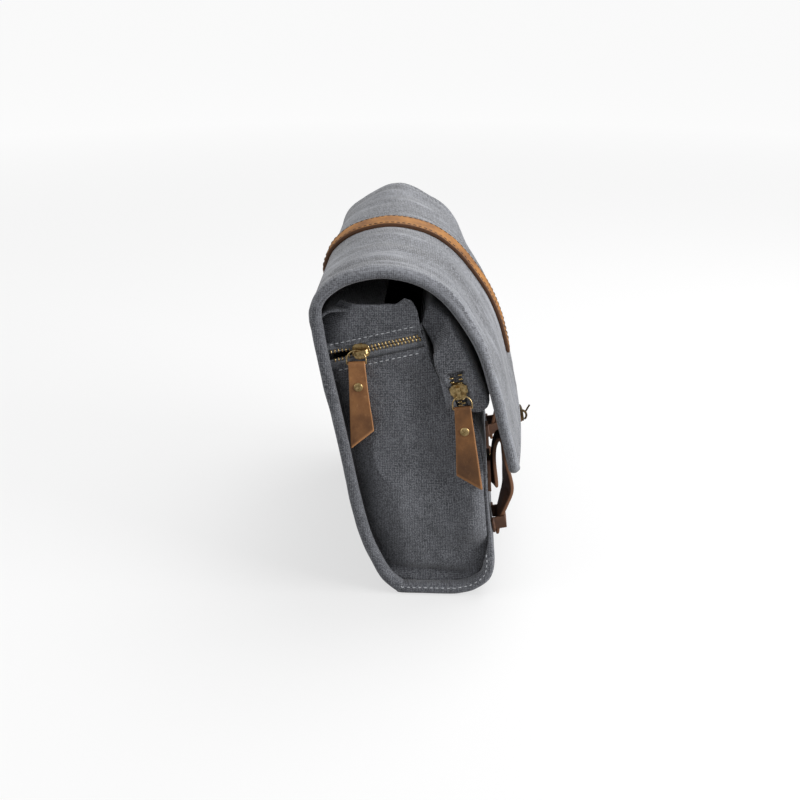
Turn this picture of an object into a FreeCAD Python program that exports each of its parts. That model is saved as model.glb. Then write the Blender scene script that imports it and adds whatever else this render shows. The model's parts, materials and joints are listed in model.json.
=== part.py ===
import FreeCAD, Part
import math
import os

# Fold-over waxed canvas travel backpack, millimetres. +Z is up, -Y is the front where the flap
# closes, +Y is the padded back, X runs across the bag. Origin: centre of the resting face.

# ---- driving dimensions -------------------------------------------------------------------
bagWidth = 310.0
backTopY = 105.0
backTopZ = 260.0
restFrontY = -17.0
restBackY = 29.0
creaseY = 12.8
creaseZ = 254.5
canvas = 2.5
seamGap = 0.3
foam = 8.0
boardThickness = 3.0
weltDepth = 12.0
frontWeltDepth = 5.5
frontRampTop = 100.0
frontRampLow = 36.0
weltThickness = 10.5
gussetTopZ = 269.0
runGap = 0.35

flapThickness = 3.0
flapLiningThickness = 1.2
flapBulge = 7.0
hemWidth = 12.0
hemThickness = 10.0

foldGap = 2.5
cheekStart = 25.0
neckWall = 2.5

strapWidth = 30.0
strapThickness = 3.8

toothPitch = 3.0
toothLength = 3.4
toothWidth = 1.5
toothHeight = 3.2
rowGap = 1.4
openRowGap = 3.2
tapeThickness = 0.8
tapeWidth = 12.0
sideSlotHeight = 17.0
sideSlotLength = 84.0

sliderLength = 15.0
sliderWide = 14.4
sliderNarrow = 10.6
plateThickness = 1.2
crownLength = 11.4
crownWidth = 3.4
crownGap = 3.6
crownThickness = 1.3

ringHalfWidth = 8.3
ringDrop = 4.0
ringCorner = 1.0
ringWire = 1.3
pullLength = 80.5
pullTopWidth = 14.0
pullBottomWidth = 21.0
pullPly = 1.5
rivetRadius = 4.0
rivetHeight = 1.2
wireSides = 8
pullCut = 16.0
rivetDrop = 23.0

frontStrapInset = 38.0
frontStrapWidth = 20.0
frontStrapThickness = 3.2
keeperThickness = 2.2
keeperReach = 63.8
keeperFoot = 6.0
anchorThickness = 3.0
anchorMargin = 3.0
catchZ = 74.0
catchTabLength = 30.0
catchTabThickness = 3.0
catchTabLean = 4.5

hookWire = 2.2
hookBend = 5.4
hookProng = 9.0
hookPlateThickness = 2.0
hookPlateWidth = 16.0
hookTailDrop = 13.5
hookTailThickness = 3.4
hookTailInset = 2.2
hookPlateCrown = 1.0
hookTurn = 118.0

halfWidth = bagWidth / 2
curveTolerance = 0.05
nodes = {}


def vec(x, y, z):
    return FreeCAD.Vector(x, y, z)


def unit(y, z):
    length = math.hypot(y, z)
    return y / length, z / length


def offsetLine(points, distance):
    """The same line moved sideways; positive distances go to the left of its direction."""
    moved = []
    last = len(points) - 1
    for i, (y, z) in enumerate(points):
        before = points[max(i - 1, 0)]
        after = points[min(i + 1, last)]
        dy, dz = unit(after[0] - before[0], after[1] - before[1])
        moved.append((y - dz * distance, z + dy * distance))
    return moved


def smoothCurve(points, x):
    spline = Part.BSplineCurve()
    spline.interpolate([vec(x, y, z) for y, z in points])
    return spline


def splineEdge(points, x):
    return smoothCurve(points, x).toShape()


def curve(points, x):
    """A line through two points, or a run of tangent arcs through more."""
    if len(points) == 2:
        return Part.makeLine(vec(x, *points[0]), vec(x, *points[1]))
    arcs = smoothCurve(points, x).toBiArcs(curveTolerance)
    return Part.Wire([arc.toShape() for arc in arcs])


def bandWire(outer, inner, x, draw=curve):
    back = list(reversed(inner))
    return Part.Wire([draw(outer, x), Part.makeLine(vec(x, *outer[-1]), vec(x, *back[0])),
                      draw(back, x), Part.makeLine(vec(x, *back[-1]), vec(x, *outer[0]))])


def band(outer, thickness, xLow, xHigh):
    """A cloth or leather strip that follows a side profile and runs across the bag."""
    return between(outer, offsetLine(outer, thickness), xLow, xHigh)


def between(outer, inner, xLow, xHigh):
    face = Part.Face(bandWire(outer, inner, xLow))
    return face.extrude(vec(xHigh - xLow, 0, 0))


def outlineFace(points, x):
    corners = [vec(x, y, z) for y, z in points]
    return Part.Face(Part.makePolygon(corners + corners[:1]))


def add(name, *solids):
    nodes[name] = Part.makeCompound(list(solids)) if len(solids) > 1 else solids[0]


# ---- profiles, seen from the side, as (Y, Z) -----------------------------------------------
# Each runs anticlockwise round the bag so that a positive offset goes towards its inside.
backLine = [(restBackY, 0.0), (33.5, 2.4), (39.6, 7.4), (47.7, 16.7), (55.8, 32.0), (65.5, 56.0), (75.0, 96.0),
            (87.0, 160.0), (100.0, 227.0), (backTopY, backTopZ)]
baseLine = [(restFrontY, 0.0), (restBackY, 0.0)]
frontLine = [(creaseY - 1.2, creaseZ - 1.5), (5.0, 234.0), (-4.0, 212.0), (-17.0, 190.0), (-31.0, 175.0),
             (-41.0, 157.0), (-46.0, 130.0), (-48.5, 96.0), (-52.0, 64.0), (-56.5, 36.0), (-53.0, 17.5),
             (-40.0, 5.5), (-27.0, 1.1), (restFrontY, 0.0)]
neckInner = [(-33.7, 178.5), (-17.3, 190.5), (-4.2, 215.5), (3.6, 238.0), (creaseY - 1.0, creaseZ + 0.9)]
neckOuter = [(8.8, 269.5), (3.2, 274.5), (-11.0, 260.0), (-23.0, 240.5), (-33.0, 217.5), (-41.0, 196.5),
             (-44.5, 184.0)]
flapLine = [(backTopY, backTopZ + 0.5), (104.6, 272.0), (97.5, 286.5), (80.0, 300.0), (57.0, 307.2),
            (36.0, 308.0), (14.0, 303.0), (-4.0, 293.0), (-20.0, 277.0), (-37.5, 251.0), (-47.5, 229.0),
            (-56.5, 198.0), (-63.5, 171.0), (-71.5, 141.0), (-76.5, 124.0)]

gussetX = halfWidth - weltDepth
innerX = gussetX - canvas
neckHalfWidth = innerX - foldGap
frontStrapX = gussetX - frontStrapInset
topPanelLine = [(backTopY - canvas - 2.8, backTopZ - 10.0), (backTopY - canvas - 3.6, backTopZ),
                (backTopY - 11.0, gussetTopZ - 3.0), (backTopY - 24.0, gussetTopZ),
                (creaseY + 60.0, gussetTopZ), (creaseY + 32.0, gussetTopZ)]
throatCorner = (creaseY + 5.0, gussetTopZ)


# ---- sack: wrap strip, sides and stiffening -------------------------------------------------
def makeSack():
    """The strip that runs down the front, under the base and up the back, and what stiffens it."""
    backInside = offsetLine(backLine, canvas)
    base = band(baseLine, canvas, -gussetX, gussetX)
    add("base_panel", base)
    back = aboveFloor(between(backLine, backInside, -gussetX, gussetX)).cut(base)
    add("back_panel", back)
    foamX = innerX - 6.0
    foamOuter = backInside[3:9]
    foamInner = offsetLine(backLine, canvas + foam)[3:9]
    add("back_foam", between(foamOuter, foamInner, -foamX, foamX).cut(back))
    board = Part.makeBox(2 * foamX, restBackY - restFrontY, boardThickness, vec(-foamX, restFrontY, canvas))
    add("base_board", board.cut(back))
    front = aboveFloor(band(frontLine, canvas, -gussetX, gussetX))
    add("front_panel", front.cut(nodes["base_panel"]))
    add("top_panel", band(topPanelLine, canvas, -innerX, innerX))


def gussetOutline(x):
    """One side of the bag, inside the wrap strip, up to the fold under the flap."""
    front = offsetLine(frontLine, canvas + seamGap)
    back = offsetLine(backLine, canvas + seamGap)
    back = back[:-2] + [(topPanelLine[0][0] - seamGap, topPanelLine[0][1])]
    top = back[-1:] + topPanelLine[1:4]
    pieces = [front, [front[-1], back[0]], back, top, [top[-1], throatCorner],
              [throatCorner, front[0]]]
    edges = [curve(piece, x) for piece in pieces]
    return Part.Face(Part.Wire(edges))


def makeSides():
    """Gussets set back between the bound edges; the near one is slotted for its zip."""
    for side, name in ((-1, "right"), (1, "left")):
        gusset = gussetOutline(side * innerX).extrude(vec(side * canvas, 0, 0))
        if side < 0:
            slot = Part.makeBox(sideSlotLength, sideSlotHeight, 4 * canvas,
                                vec(-sideSlotLength / 2, -sideSlotHeight / 2, -canvas))
            gusset = gusset.cut(sideZip.place(slot))
        add(name + "_gusset", gusset)
        add(name + "_welt", makeWelt(side))


def makeWelt(side):
    """The thick rolled edge that frames a side, fuller at the back and base than at the front."""
    front = frontLine[4:]
    frontInner = offsetLine(frontLine, 0.5 * weltThickness)[4:-4]
    baseInner = [(restFrontY - 12.0, 0.9 * weltThickness + 2.0), (restFrontY + 5.0, weltThickness)]
    backInner = offsetLine(backLine, weltThickness)[3:]
    inner = frontInner + baseInner + backInner
    start = side * gussetX
    inside = list(reversed(inner))
    edges = [curve(front, start), curve(baseLine, start), curve(backLine, start),
             Part.makeLine(vec(start, *backLine[-1]), vec(start, *inside[0])), curve(inside, start),
             Part.makeLine(vec(start, *inside[-1]), vec(start, *front[0]))]
    welt = Part.Face(Part.Wire(edges)).extrude(vec(side * weltDepth, 0, 0))
    high = gussetX + frontWeltDepth
    low = gussetX + weltDepth + 1.0
    slope = [vec(side * high, -2 * halfWidth, backTopZ), vec(side * high, -2 * halfWidth, frontRampTop),
             vec(side * low, -2 * halfWidth, frontRampLow), vec(side * 2 * low, -2 * halfWidth, frontRampLow),
             vec(side * 2 * low, -2 * halfWidth, backTopZ)]
    shaving = Part.Face(Part.makePolygon(slope + slope[:1])).extrude(vec(0, 2 * halfWidth - 20.0, 0))
    above = Part.makeBox(4 * halfWidth, 40.0, 20.0, vec(-2 * halfWidth, backTopY - 30.0, backTopZ))
    return aboveFloor(welt.cut(shaving).cut(above))


def aboveFloor(shape):
    """Trim what a curve lets sag below the resting plane."""
    return shape.cut(Part.makeBox(4 * halfWidth, 4 * halfWidth, 10.0, vec(-2 * halfWidth, -2 * halfWidth, -10.0)))


class Frame:
    """A flat place on the bag: s runs along a zip, t across it and n away from the cloth."""

    def __init__(self, origin, s, n):
        self.origin = vec(*origin)
        self.s = vec(*s).normalize()
        self.n = vec(*n).normalize()
        self.t = self.n.cross(self.s)

    def matrix(self):
        s, t, n, o = self.s, self.t, self.n, self.origin
        return FreeCAD.Matrix(s.x, t.x, n.x, o.x, s.y, t.y, n.y, o.y, s.z, t.z, n.z, o.z, 0, 0, 0, 1)

    def place(self, shape):
        return shape.transformed(self.matrix())

    def point(self, s, t, n):
        return self.origin + self.s * s + self.t * t + self.n * n


tapeOuter = innerX - 0.5 * tapeThickness
sideZip = Frame((-tapeOuter, 51.0, 235.8), (0, 75.5, -18.5), (-1, 0, 0))
sideSliderAt = 12.0
sideRingHang = (5.84, 5.57)
sideRingLean = 3.6
neckX = neckHalfWidth - neckWall
sliderBack = 0.5 * toothHeight + runGap + plateThickness
mouthTapeX = gussetX + sliderBack + runGap
cheekX = mouthTapeX + neckWall
mouthZip = Frame((-mouthTapeX, -19.0, 206.0), (0, 0.234, 0.972), (-1, 0, 0))
mouthSliderAt = -7.0
mouthRingHang = (-10.5, -0.5)
mouthRingLean = 6.0
mouthRun = (-21.0, 6.0)
mouthPocket = sliderBack + 1.5 * runGap


# ---- zips -----------------------------------------------------------------------------------
def makeTooth():
    """One cast tooth: a shank on the tape edge and a rounded head that meets the other row."""
    w, h = toothWidth, toothHeight
    shank = Part.makeBox(w, toothLength, h, vec(-w / 2, 0, -h / 2))
    nose = Part.makeBox(0.6 * w, 0.5 * toothLength, 0.6 * h, vec(-0.3 * w, -0.25 * toothLength, -0.3 * h))
    return shank.fuse(nose).removeSplitter()


def teethRow(start, count, gap, side, lift=0.0):
    """A row of teeth; side +1 or -1 says which tape, gap is the space between the two rows."""
    tooth = makeTooth()
    row = []
    for i in range(count):
        one = tooth.copy()
        if side < 0:
            one = one.mirror(vec(0, 0, 0), vec(0, 1, 0))
        offset = 0.5 * toothPitch if side > 0 else 0.0
        nose = 0.25 * toothLength
        one.translate(vec(start + i * toothPitch + offset, side * (0.5 * gap + nose), lift))
        row.append(one)
    return row


def makeTape(low, high, gap, side):
    """One tape from its tooth bead outwards, lying behind the slot's hem."""
    inner = 0.5 * gap + 0.25 * toothLength + toothLength
    width = tapeWidth - toothLength
    y = inner if side > 0 else -inner - width
    return Part.makeBox(high - low, width, tapeThickness, vec(low, y, -0.5 * tapeThickness))


def sliderOutline(z):
    """Shield-shaped plate: wide where the rows part, narrow where they come out closed."""
    half, wide, narrow = sliderLength / 2, sliderWide / 2, sliderNarrow / 2
    top = [(-half + 1.2, narrow - 1.2), (-half + 2.6, narrow), (0.0, 0.5 * (wide + narrow) + 0.4),
           (half - 4.0, wide), (half - 1.0, wide - 1.6), (half, wide - 4.2)]
    ring = top + [(x, -y) for x, y in reversed(top)]
    corners = [vec(x, y, z) for x, y in ring]
    return Part.Face(Part.makePolygon(corners + corners[:1]))


def makeSlider():
    """Two plates joined by the divider, flanges over the tape edges and a crown to hold the ring."""
    low = 0.5 * toothHeight + runGap
    top = sliderOutline(low).extrude(vec(0, 0, plateThickness))
    bottom = sliderOutline(-low).extrude(vec(0, 0, -plateThickness))
    divider = Part.makeBox(2.6, 0.6 * rowGap, 2 * low, vec(sliderLength / 2 - 3.6, -0.3 * rowGap, -low))
    body = top.fuse([bottom, divider])
    reach = 0.5 * openRowGap + 1.25 * toothLength + runGap
    slit = 0.5 * tapeThickness + runGap
    for side in (-1, 1):
        for up in (-1, 1):
            z = slit if up > 0 else -low
            y = reach if side > 0 else -reach - plateThickness
            flange = Part.makeBox(6.5, plateThickness, low - slit, vec(-1.8, y, z))
            body = body.fuse(flange)
    return body.fuse(makeCrown(low + plateThickness)).removeSplitter()


def makeCrown(z):
    """An arch along the slider that the ring runs under."""
    half, high = crownLength / 2, crownGap + crownThickness
    foot = crownThickness
    line = [vec(-half, 0, z), vec(-half, 0, z + high - 1.4), vec(-half + 1.4, 0, z + high),
            vec(half - 1.4, 0, z + high), vec(half, 0, z + high - 1.4), vec(half, 0, z), vec(half - foot, 0, z),
            vec(half - foot, 0, z + crownGap), vec(-half + foot, 0, z + crownGap), vec(-half + foot, 0, z)]
    face = Part.Face(Part.makePolygon(line + line[:1]))
    face.translate(vec(0, -crownWidth / 2, 0))
    return face.extrude(vec(0, crownWidth, 0))


ringPlane = sliderBack + crownGap - 0.5 * ringWire - 0.25


def barSection(centre, along, width):
    """The cut through a round wire, drawn with a few flat sides."""
    turn = FreeCAD.Rotation(vec(0, 0, 1), along)
    corners = []
    for i in range(wireSides):
        angle = 2 * math.pi * i / wireSides
        corners.append(centre + turn.multVec(vec(math.cos(angle), math.sin(angle), 0) * (width / 2)))
    return Part.Face(Part.makePolygon(corners + corners[:1]))


def roundRun(start, end, width):
    """A straight wire between two points."""
    return barSection(start, end - start, width).extrude(end - start)


def roundBend(start, centre, axis, angle, width):
    """A wire bent about an axis through the centre, from a start point."""
    tangent = axis.cross(start - centre)
    return barSection(start, tangent, width).revolve(centre, axis, angle)


def domedCap(radius, height, place, facing):
    """A rivet's cap: a low dome in two slopes over a short straight edge."""
    edge, rise = 0.3 * height, 0.45 * height
    rim = Part.makeCylinder(radius, edge, place, facing)
    slope = Part.makeCone(radius, 0.72 * radius, rise, place + facing * edge, facing)
    crown = Part.makeCone(0.72 * radius, 0.3 * radius, height - edge - rise, place + facing * (edge + rise), facing)
    return rim.fuse([slope, crown])


def makeRing():
    """D ring in local axes: y across, z up, bar at z = 0, thickness along x."""
    half, corner, top = ringHalfWidth, ringCorner, ringDrop
    across = vec(1, 0, 0)
    pieces = [roundRun(vec(0, -half + corner, 0), vec(0, half - corner, 0), ringWire),
              roundBend(vec(0, half, top), vec(0, 0, top), across, 180, ringWire)]
    for side in (-1, 1):
        centre = vec(0, side * (half - corner), corner)
        pieces.append(roundBend(vec(0, side * (half - corner), 0), centre, across * side, 90, ringWire))
        pieces.append(roundRun(vec(0, side * half, corner), vec(0, side * half, top), ringWire))
    return pieces[0].fuse(pieces[1:]).removeSplitter()


def makePull(lean):
    """Folded leather tab: a loop round the ring's bar, then two plies cut off at a slant."""
    loop = 0.5 * ringWire + runGap + pullPly
    hole = 0.5 * ringWire + runGap
    top, bottom = pullTopWidth / 2, pullBottomWidth / 2
    low = loop - pullLength
    front, back = (low, low + pullCut) if lean > 0 else (low + pullCut, low)
    outline = [vec(0, -top, 0), vec(0, top, 0), vec(0, bottom, back), vec(0, -bottom, front)]
    blade = Part.Face(Part.makePolygon(outline + outline[:1])).extrude(vec(2 * pullPly, 0, 0))
    blade.translate(vec(-pullPly, 0, 0))
    barrel = Part.makeCylinder(loop, pullTopWidth, vec(0, -top, 0), vec(0, 1, 0))
    neck = [vec(-loop, -top, 0), vec(loop, -top, 0), vec(pullPly, -top, -9.0), vec(-pullPly, -top, -9.0)]
    wedge = Part.Face(Part.makePolygon(neck + neck[:1])).extrude(vec(0, pullTopWidth, 0))
    bore = Part.makeCylinder(hole, pullTopWidth + 2, vec(0, -top - 1, 0), vec(0, 1, 0))
    drop = loop - rivetDrop
    pin = Part.makeCylinder(0.4 * rivetRadius, 2 * loop, vec(-loop, 0, drop), vec(1, 0, 0))
    return blade.fuse([barrel, wedge]).removeSplitter().cut(bore).cut(pin)


def makeRivet(grip):
    """Tubular rivet with a domed cap each side, along x, centred on the leather it holds."""
    caps = [domedCap(rivetRadius, rivetHeight, vec(side * grip / 2, 0, 0), vec(side, 0, 0)) for side in (-1, 1)]
    pin = Part.makeCylinder(0.4 * rivetRadius, grip, vec(-grip / 2, 0, 0), vec(1, 0, 0))
    return pin.fuse(caps).removeSplitter()


# ---- neck: the upper sack, folded down in front ------------------------------------------------
def makeNeck():
    """A flat sleeve, open where it leaves the sack, whose mouth and near side are zipped."""
    outerInside = offsetLine(neckOuter, neckWall)
    innerInside = offsetLine(neckInner, neckWall)
    add("neck_outer_wall", between(neckOuter, outerInside, -neckX, neckX))
    add("neck_inner_wall", between(neckInner, innerInside, -neckX, neckX))
    for side, name in ((-1, "right"), (1, "left")):
        outline = [neckOuter[:], [neckOuter[-1], neckInner[0]], neckInner[:], [neckInner[-1], neckOuter[0]]]
        wire = Part.Wire([curve(line, side * neckX) for line in outline])
        cheek = Part.Face(wire).extrude(vec(side * neckWall, 0, 0))
        pad = Part.Face(wire).extrude(vec(side * (cheekX - neckX), 0, 0))
        away = Part.makeCylinder(cheekStart, 3 * bagWidth, vec(-1.5 * bagWidth, creaseY, creaseZ), vec(1, 0, 0))
        cheek = cheek.fuse(pad.cut(away)).removeSplitter()
        if side < 0:
            pocket = Part.makeBox(60.0, sideSlotHeight, 10.0, vec(-52.0, -sideSlotHeight / 2, -mouthPocket))
            cheek = cheek.cut(mouthZip.place(pocket)).cut(Part.makeCompound(mouthTapes()))
        add(name + "_neck_side", cheek)


def mouthTapes():
    return [mouthZip.place(makeTape(mouthRun[0], mouthRun[1] + 2.0, rowGap, side)) for side in (-1, 1)]


def makeMouth():
    """Tapes and teeth of the mouth zip: down the near side and across the end of the neck."""
    low, high = mouthRun
    closed = int((mouthSliderAt - low) / toothPitch)
    opened = int((high - mouthSliderAt) / toothPitch)
    teeth = []
    for side in (-1, 1):
        teeth += teethRow(low + toothWidth, closed, rowGap, side)
        teeth += teethRow(low + toothWidth + closed * toothPitch, opened, openRowGap, side)
    placed = Part.makeCompound([mouthZip.place(tooth) for tooth in teeth])
    nodes["mouth_side_teeth"] = placed
    add("mouth_side_tapes", *[tape.cut(placed) for tape in mouthTapes()])


def makeMouthEnd():
    """The stretch of the zip across the mouth, whose tapes close the end of the sleeve."""
    y0, z0 = neckInner[0]
    y1, z1 = neckOuter[-1]
    across = unit(y1 - y0, z1 - z0)
    mid = (0.5 * (y0 + y1), 0.5 * (z0 + z1))
    out = (across[1], -across[0])
    end = Frame((0, mid[0] + 0.6 * out[0], mid[1] + 0.6 * out[1]), (1, 0, 0), (0, out[0], out[1]))
    half = 0.5 * math.dist(neckInner[0], neckOuter[-1])
    tape = Part.makeBox(2 * neckX, 2 * half, 2 * tapeThickness, vec(-neckX, -half, -0.6))
    add("mouth_end_tape", end.place(tape).cut(nodes["neck_outer_wall"]).cut(nodes["neck_inner_wall"]))
    bead = 2 * tapeThickness - 0.6
    count = int(2 * (neckX - 4.0) / toothPitch)
    bars = []
    for i in range(count):
        side = -1 if i % 2 else 1
        bar = Part.makeBox(toothWidth, toothLength, 1.6, vec(-neckX + 4.0 + i * toothPitch, 0, bead))
        bar.translate(vec(0, -toothLength / 2 + side * 1.2, 0))
        bars.append(end.place(bar))
    add("mouth_end_teeth", *bars)


# ---- flap ---------------------------------------------------------------------------------------
def flapAt(bulge):
    """The flap's outer line; its front swells forward by up to the bulge in the middle."""
    crown = max(z for y, z in flapLine)
    swell = []
    for y, z in flapLine:
        share = min(1.0, max(0.0, (crown - z) / 95.0)) if y < 40.0 else 0.0
        swell.append((y - bulge * share, z))
    return swell


def flapSkin(first, second, line=slice(None)):
    """A layer between two depths below the flap's outer surface, swelling in the middle."""
    wires = []
    for share in (-1.0, -0.5, 0.0, 0.5, 1.0):
        swell = flapAt(flapBulge * (1.0 - share ** 2))
        outer = offsetLine(swell, first)[line]
        inner = offsetLine(swell, second)[line]
        wires.append(bandWire(outer, inner, share * gussetX, splineEdge))
    return Part.makeLoft(wires, True, True)


def makeFlap():
    """Outer cloth, dark lining and the thick turned hem along the three free edges."""
    add("flap_panel", flapSkin(0.0, flapThickness, slice(0, -1)))
    add("flap_lining", flapSkin(flapThickness, flapThickness + flapLiningThickness, slice(0, -1)))
    add("flap_front_hem", flapSkin(0.0, hemThickness, slice(-2, None)))
    hemInner = offsetLine(flapLine, hemThickness)
    hemInner[0] = offsetLine(flapLine, flapThickness + flapLiningThickness)[0]
    hemInner[1] = offsetLine(flapLine, 0.6 * hemThickness)[1]
    for side, name in ((-1, "right"), (1, "left")):
        hem = Part.Face(bandWire(flapLine, hemInner, side * gussetX)).extrude(vec(side * hemWidth, 0, 0))
        add("flap_" + name + "_hem", hem)


strapEnd = 4


def makeTopStrap():
    """The leather strap sewn over the flap, from the back seam to the slit in the flap's front."""
    under = offsetLine(flapAt(flapBulge), -0.3)
    over = offsetLine(flapAt(flapBulge), -0.3 - strapThickness)
    add("top_strap", between(over[:-strapEnd + 1], under[:-strapEnd + 1], -strapWidth / 2, strapWidth / 2))


def makeHook():
    """Leather tail out of the hem, a domed plate riveted on it and the brass hook on the plate."""
    outer = flapAt(flapBulge)
    y, z = outer[-1]
    dy, dz = unit(outer[-1][0] - outer[-2][0], outer[-1][1] - outer[-2][1])
    high = (y - dz * hookTailInset, z + dy * hookTailInset)
    back = [high, (high[0] + dy * hookTailDrop, high[1] + dz * hookTailDrop)]
    face = outlineFace(back + list(reversed(offsetLine(back, hookTailThickness))), -hookPlateWidth / 2)
    tab = face.extrude(vec(hookPlateWidth, 0, 0))
    plateBack = offsetLine(back, -hookPlateThickness)
    plateLow = plateBack[1]
    plateHigh = (plateBack[0][0] + dy * 0.8, plateBack[0][1] + dz * 0.8)
    under = (back[0][0] + dy * 0.8, back[0][1] + dz * 0.8)
    crown = (0.5 * (plateLow[0] + plateHigh[0]) + dz * hookPlateCrown,
             0.5 * (plateLow[1] + plateHigh[1]) - dy * hookPlateCrown)
    arc = Part.Arc(vec(0, *plateHigh), vec(0, *crown), vec(0, *plateLow)).toShape()
    wire = Part.Wire([arc, Part.makeLine(vec(0, *plateLow), vec(0, *back[1])),
                      Part.makeLine(vec(0, *back[1]), vec(0, *under)),
                      Part.makeLine(vec(0, *under), vec(0, *plateHigh))])
    plateWidth = hookPlateWidth - 3.0
    plate = Part.Face(wire).extrude(vec(plateWidth, 0, 0))
    plate.translate(vec(-plateWidth / 2, 0, 0))
    root = vec(0, crown[0] + 0.6, crown[1] + 2.0)
    across = vec(1, 0, 0)
    centre = root + vec(0, 1.6, -hookBend)
    bend = roundBend(root, centre, across, hookTurn, hookWire)
    neck = root + vec(0, -2.6, -2.0)
    prong = roundRun(neck, neck + vec(0, -hookProng * 0.45, hookProng * 0.9), hookWire - 0.4)
    hook = bend.fuse(prong)
    add("hook_tail", tab)
    add("hook_plate", plate)
    add("hook", hook.cut(plate).removeSplitter())


# ---- leather on the front ------------------------------------------------------------------------
looseStrap = [(-54.2, 91.0), (-54.0, 106.0), (-54.0, 122.0), (-55.0, 133.5), (-58.0, 139.5), (-61.0, 134.0),
              (-62.6, 122.0), (-66.0, 104.0), (-67.6, 88.0), (-64.6, 74.0), (-61.0, 61.0), (-59.4, 50.0),
              (-59.2, 43.0)]
anchorLow, anchorHigh = 89.0, 120.0
keeperLow, keeperHigh = 49.0, 61.0
rivetZ = 98.0


frontPoints = curve(frontLine, 0.0).discretize(200)


def frontAt(z):
    """Where the front cloth's outer face is at a height."""
    for above, below in zip(frontPoints, frontPoints[1:]):
        if below.z <= z <= above.z:
            return above.y + (below.y - above.y) * (z - above.z) / (below.z - above.z)
    return restFrontY


def makeFrontStrap(side, name):
    """A long strap riveted to its anchor, looped over and tucked down through a keeper."""
    x = side * frontStrapX - frontStrapWidth / 2
    strap = band(offsetLine(looseStrap, -frontStrapThickness / 2), frontStrapThickness, x, x + frontStrapWidth)
    patch = [(frontAt(z) - 0.5, z) for z in (anchorHigh, 0.5 * (anchorLow + anchorHigh), anchorLow)]
    patchOut = [(y - anchorThickness, z) for y, z in patch]
    anchor = between(patch, patchOut, x - anchorMargin, x + frontStrapWidth + anchorMargin)
    pinX = side * frontStrapX
    pin = Part.makeCylinder(0.4 * rivetRadius, 12.0, vec(pinX, -58.0, rivetZ), vec(0, 1, 0))
    grip = looseStrap[0][0] - frontStrapThickness / 2 - 0.5
    cap = domedCap(rivetRadius, rivetHeight, vec(pinX, grip, rivetZ), vec(0, -1, 0))
    shank = Part.makeCylinder(0.4 * rivetRadius, frontAt(rivetZ) - 0.4 - grip, vec(pinX, grip, rivetZ),
                              vec(0, 1, 0))
    add(name + "_front_strap", strap.cut(pin))
    add(name + "_strap_anchor", anchor.cut(pin))
    add(name + "_strap_rivet", cap.fuse(shank).removeSplitter())
    add(name + "_strap_keeper", makeKeeper(side * frontStrapX))


def makeKeeper(x):
    """A leather bridge sewn down either side of the strap's tail."""
    inner = frontAt(keeperHigh) - 0.5
    half = frontStrapWidth / 2 + 0.8
    outer = half + keeperThickness
    wide, low, over = outer + keeperFoot, inner - keeperThickness, -keeperReach - keeperThickness
    line = [(-wide, inner), (-wide, low), (-outer, low), (-outer, over), (outer, over), (outer, low), (wide, low),
            (wide, inner), (half, inner), (half, -keeperReach), (-half, -keeperReach), (-half, inner)]
    points = [vec(x + a, b, keeperLow) for a, b in line]
    keeper = Part.Face(Part.makePolygon(points + points[:1])).extrude(vec(0, 0, keeperHigh - keeperLow))
    slope = math.degrees(math.atan2(frontAt(keeperHigh) - frontAt(keeperLow), keeperHigh - keeperLow))
    keeper.rotate(vec(x, inner, keeperHigh), vec(1, 0, 0), -slope)
    return keeper


def makeCatch():
    """The leather tab and D ring low on the front that the flap's hook takes hold of."""
    z = catchZ
    y = frontAt(z) - 0.5
    loop = 0.5 * ringWire + runGap + pullPly
    tab = Part.makeBox(pullTopWidth, catchTabThickness, catchTabLength,
                       vec(-pullTopWidth / 2, y - catchTabThickness, z))
    tab.rotate(vec(0, y, z), vec(1, 0, 0), -catchTabLean)
    barrel = Part.makeCylinder(loop, pullTopWidth, vec(-pullTopWidth / 2, y - loop, z), vec(1, 0, 0))
    bore = Part.makeCylinder(0.5 * ringWire + runGap, pullTopWidth + 2, vec(-pullTopWidth / 2 - 1, y - loop, z),
                             vec(1, 0, 0))
    add("catch_tab", tab.fuse(barrel).removeSplitter().cut(bore))
    ring = makeRing()
    ring.rotate(vec(0, 0, 0), vec(0, 0, 1), 90)
    ring.rotate(vec(0, 0, 0), vec(1, 0, 0), 180)
    ring.translate(vec(0, y - loop, z))
    add("catch_ring", ring)


# ---- zips placed -----------------------------------------------------------------------------------
def makeSideZip():
    """The side zip: slider near the back, open rows behind it and closed rows before it."""
    reach = sideSlotLength / 2 - 3.5
    tapes = [sideZip.place(makeTape(-reach, reach + 2.0, rowGap, side)) for side in (-1, 1)]
    closed = int((sideSliderAt + reach) / toothPitch)
    opened = int((reach - sideSliderAt) / toothPitch)
    teeth = []
    for side in (-1, 1):
        teeth += teethRow(-reach + toothWidth, closed, rowGap, side)
        teeth += teethRow(-reach + toothWidth + closed * toothPitch, opened, openRowGap, side)
    placed = Part.makeCompound([sideZip.place(tooth) for tooth in teeth])
    nodes["side_zip_teeth"] = placed
    add("side_zip_tapes", *[tape.cut(placed) for tape in tapes])


def makeSliderSet(frame, at, hang, lean, slant, name):
    """A slider on its chain, the D ring through its crown and the leather tab on the ring."""
    slider = makeSlider()
    slider.translate(vec(at, 0, 0))
    add(name + "_slider", frame.place(slider))
    ring = frame.point(at + hang[0], hang[1], ringPlane)
    for part, shape in (("ring", makeRing()), ("pull", makePull(slant)), ("rivet", makeRivet(2 * pullPly))):
        if part == "rivet":
            loop = 0.5 * ringWire + runGap + pullPly
            shape.translate(vec(0, 0, loop - rivetDrop))
        shape.rotate(vec(0, 0, ringDrop), vec(1, 0, 0), -lean)
        shape.translate(ring - vec(0, 0, ringDrop))
        add(name + "_" + part, shape)


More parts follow.
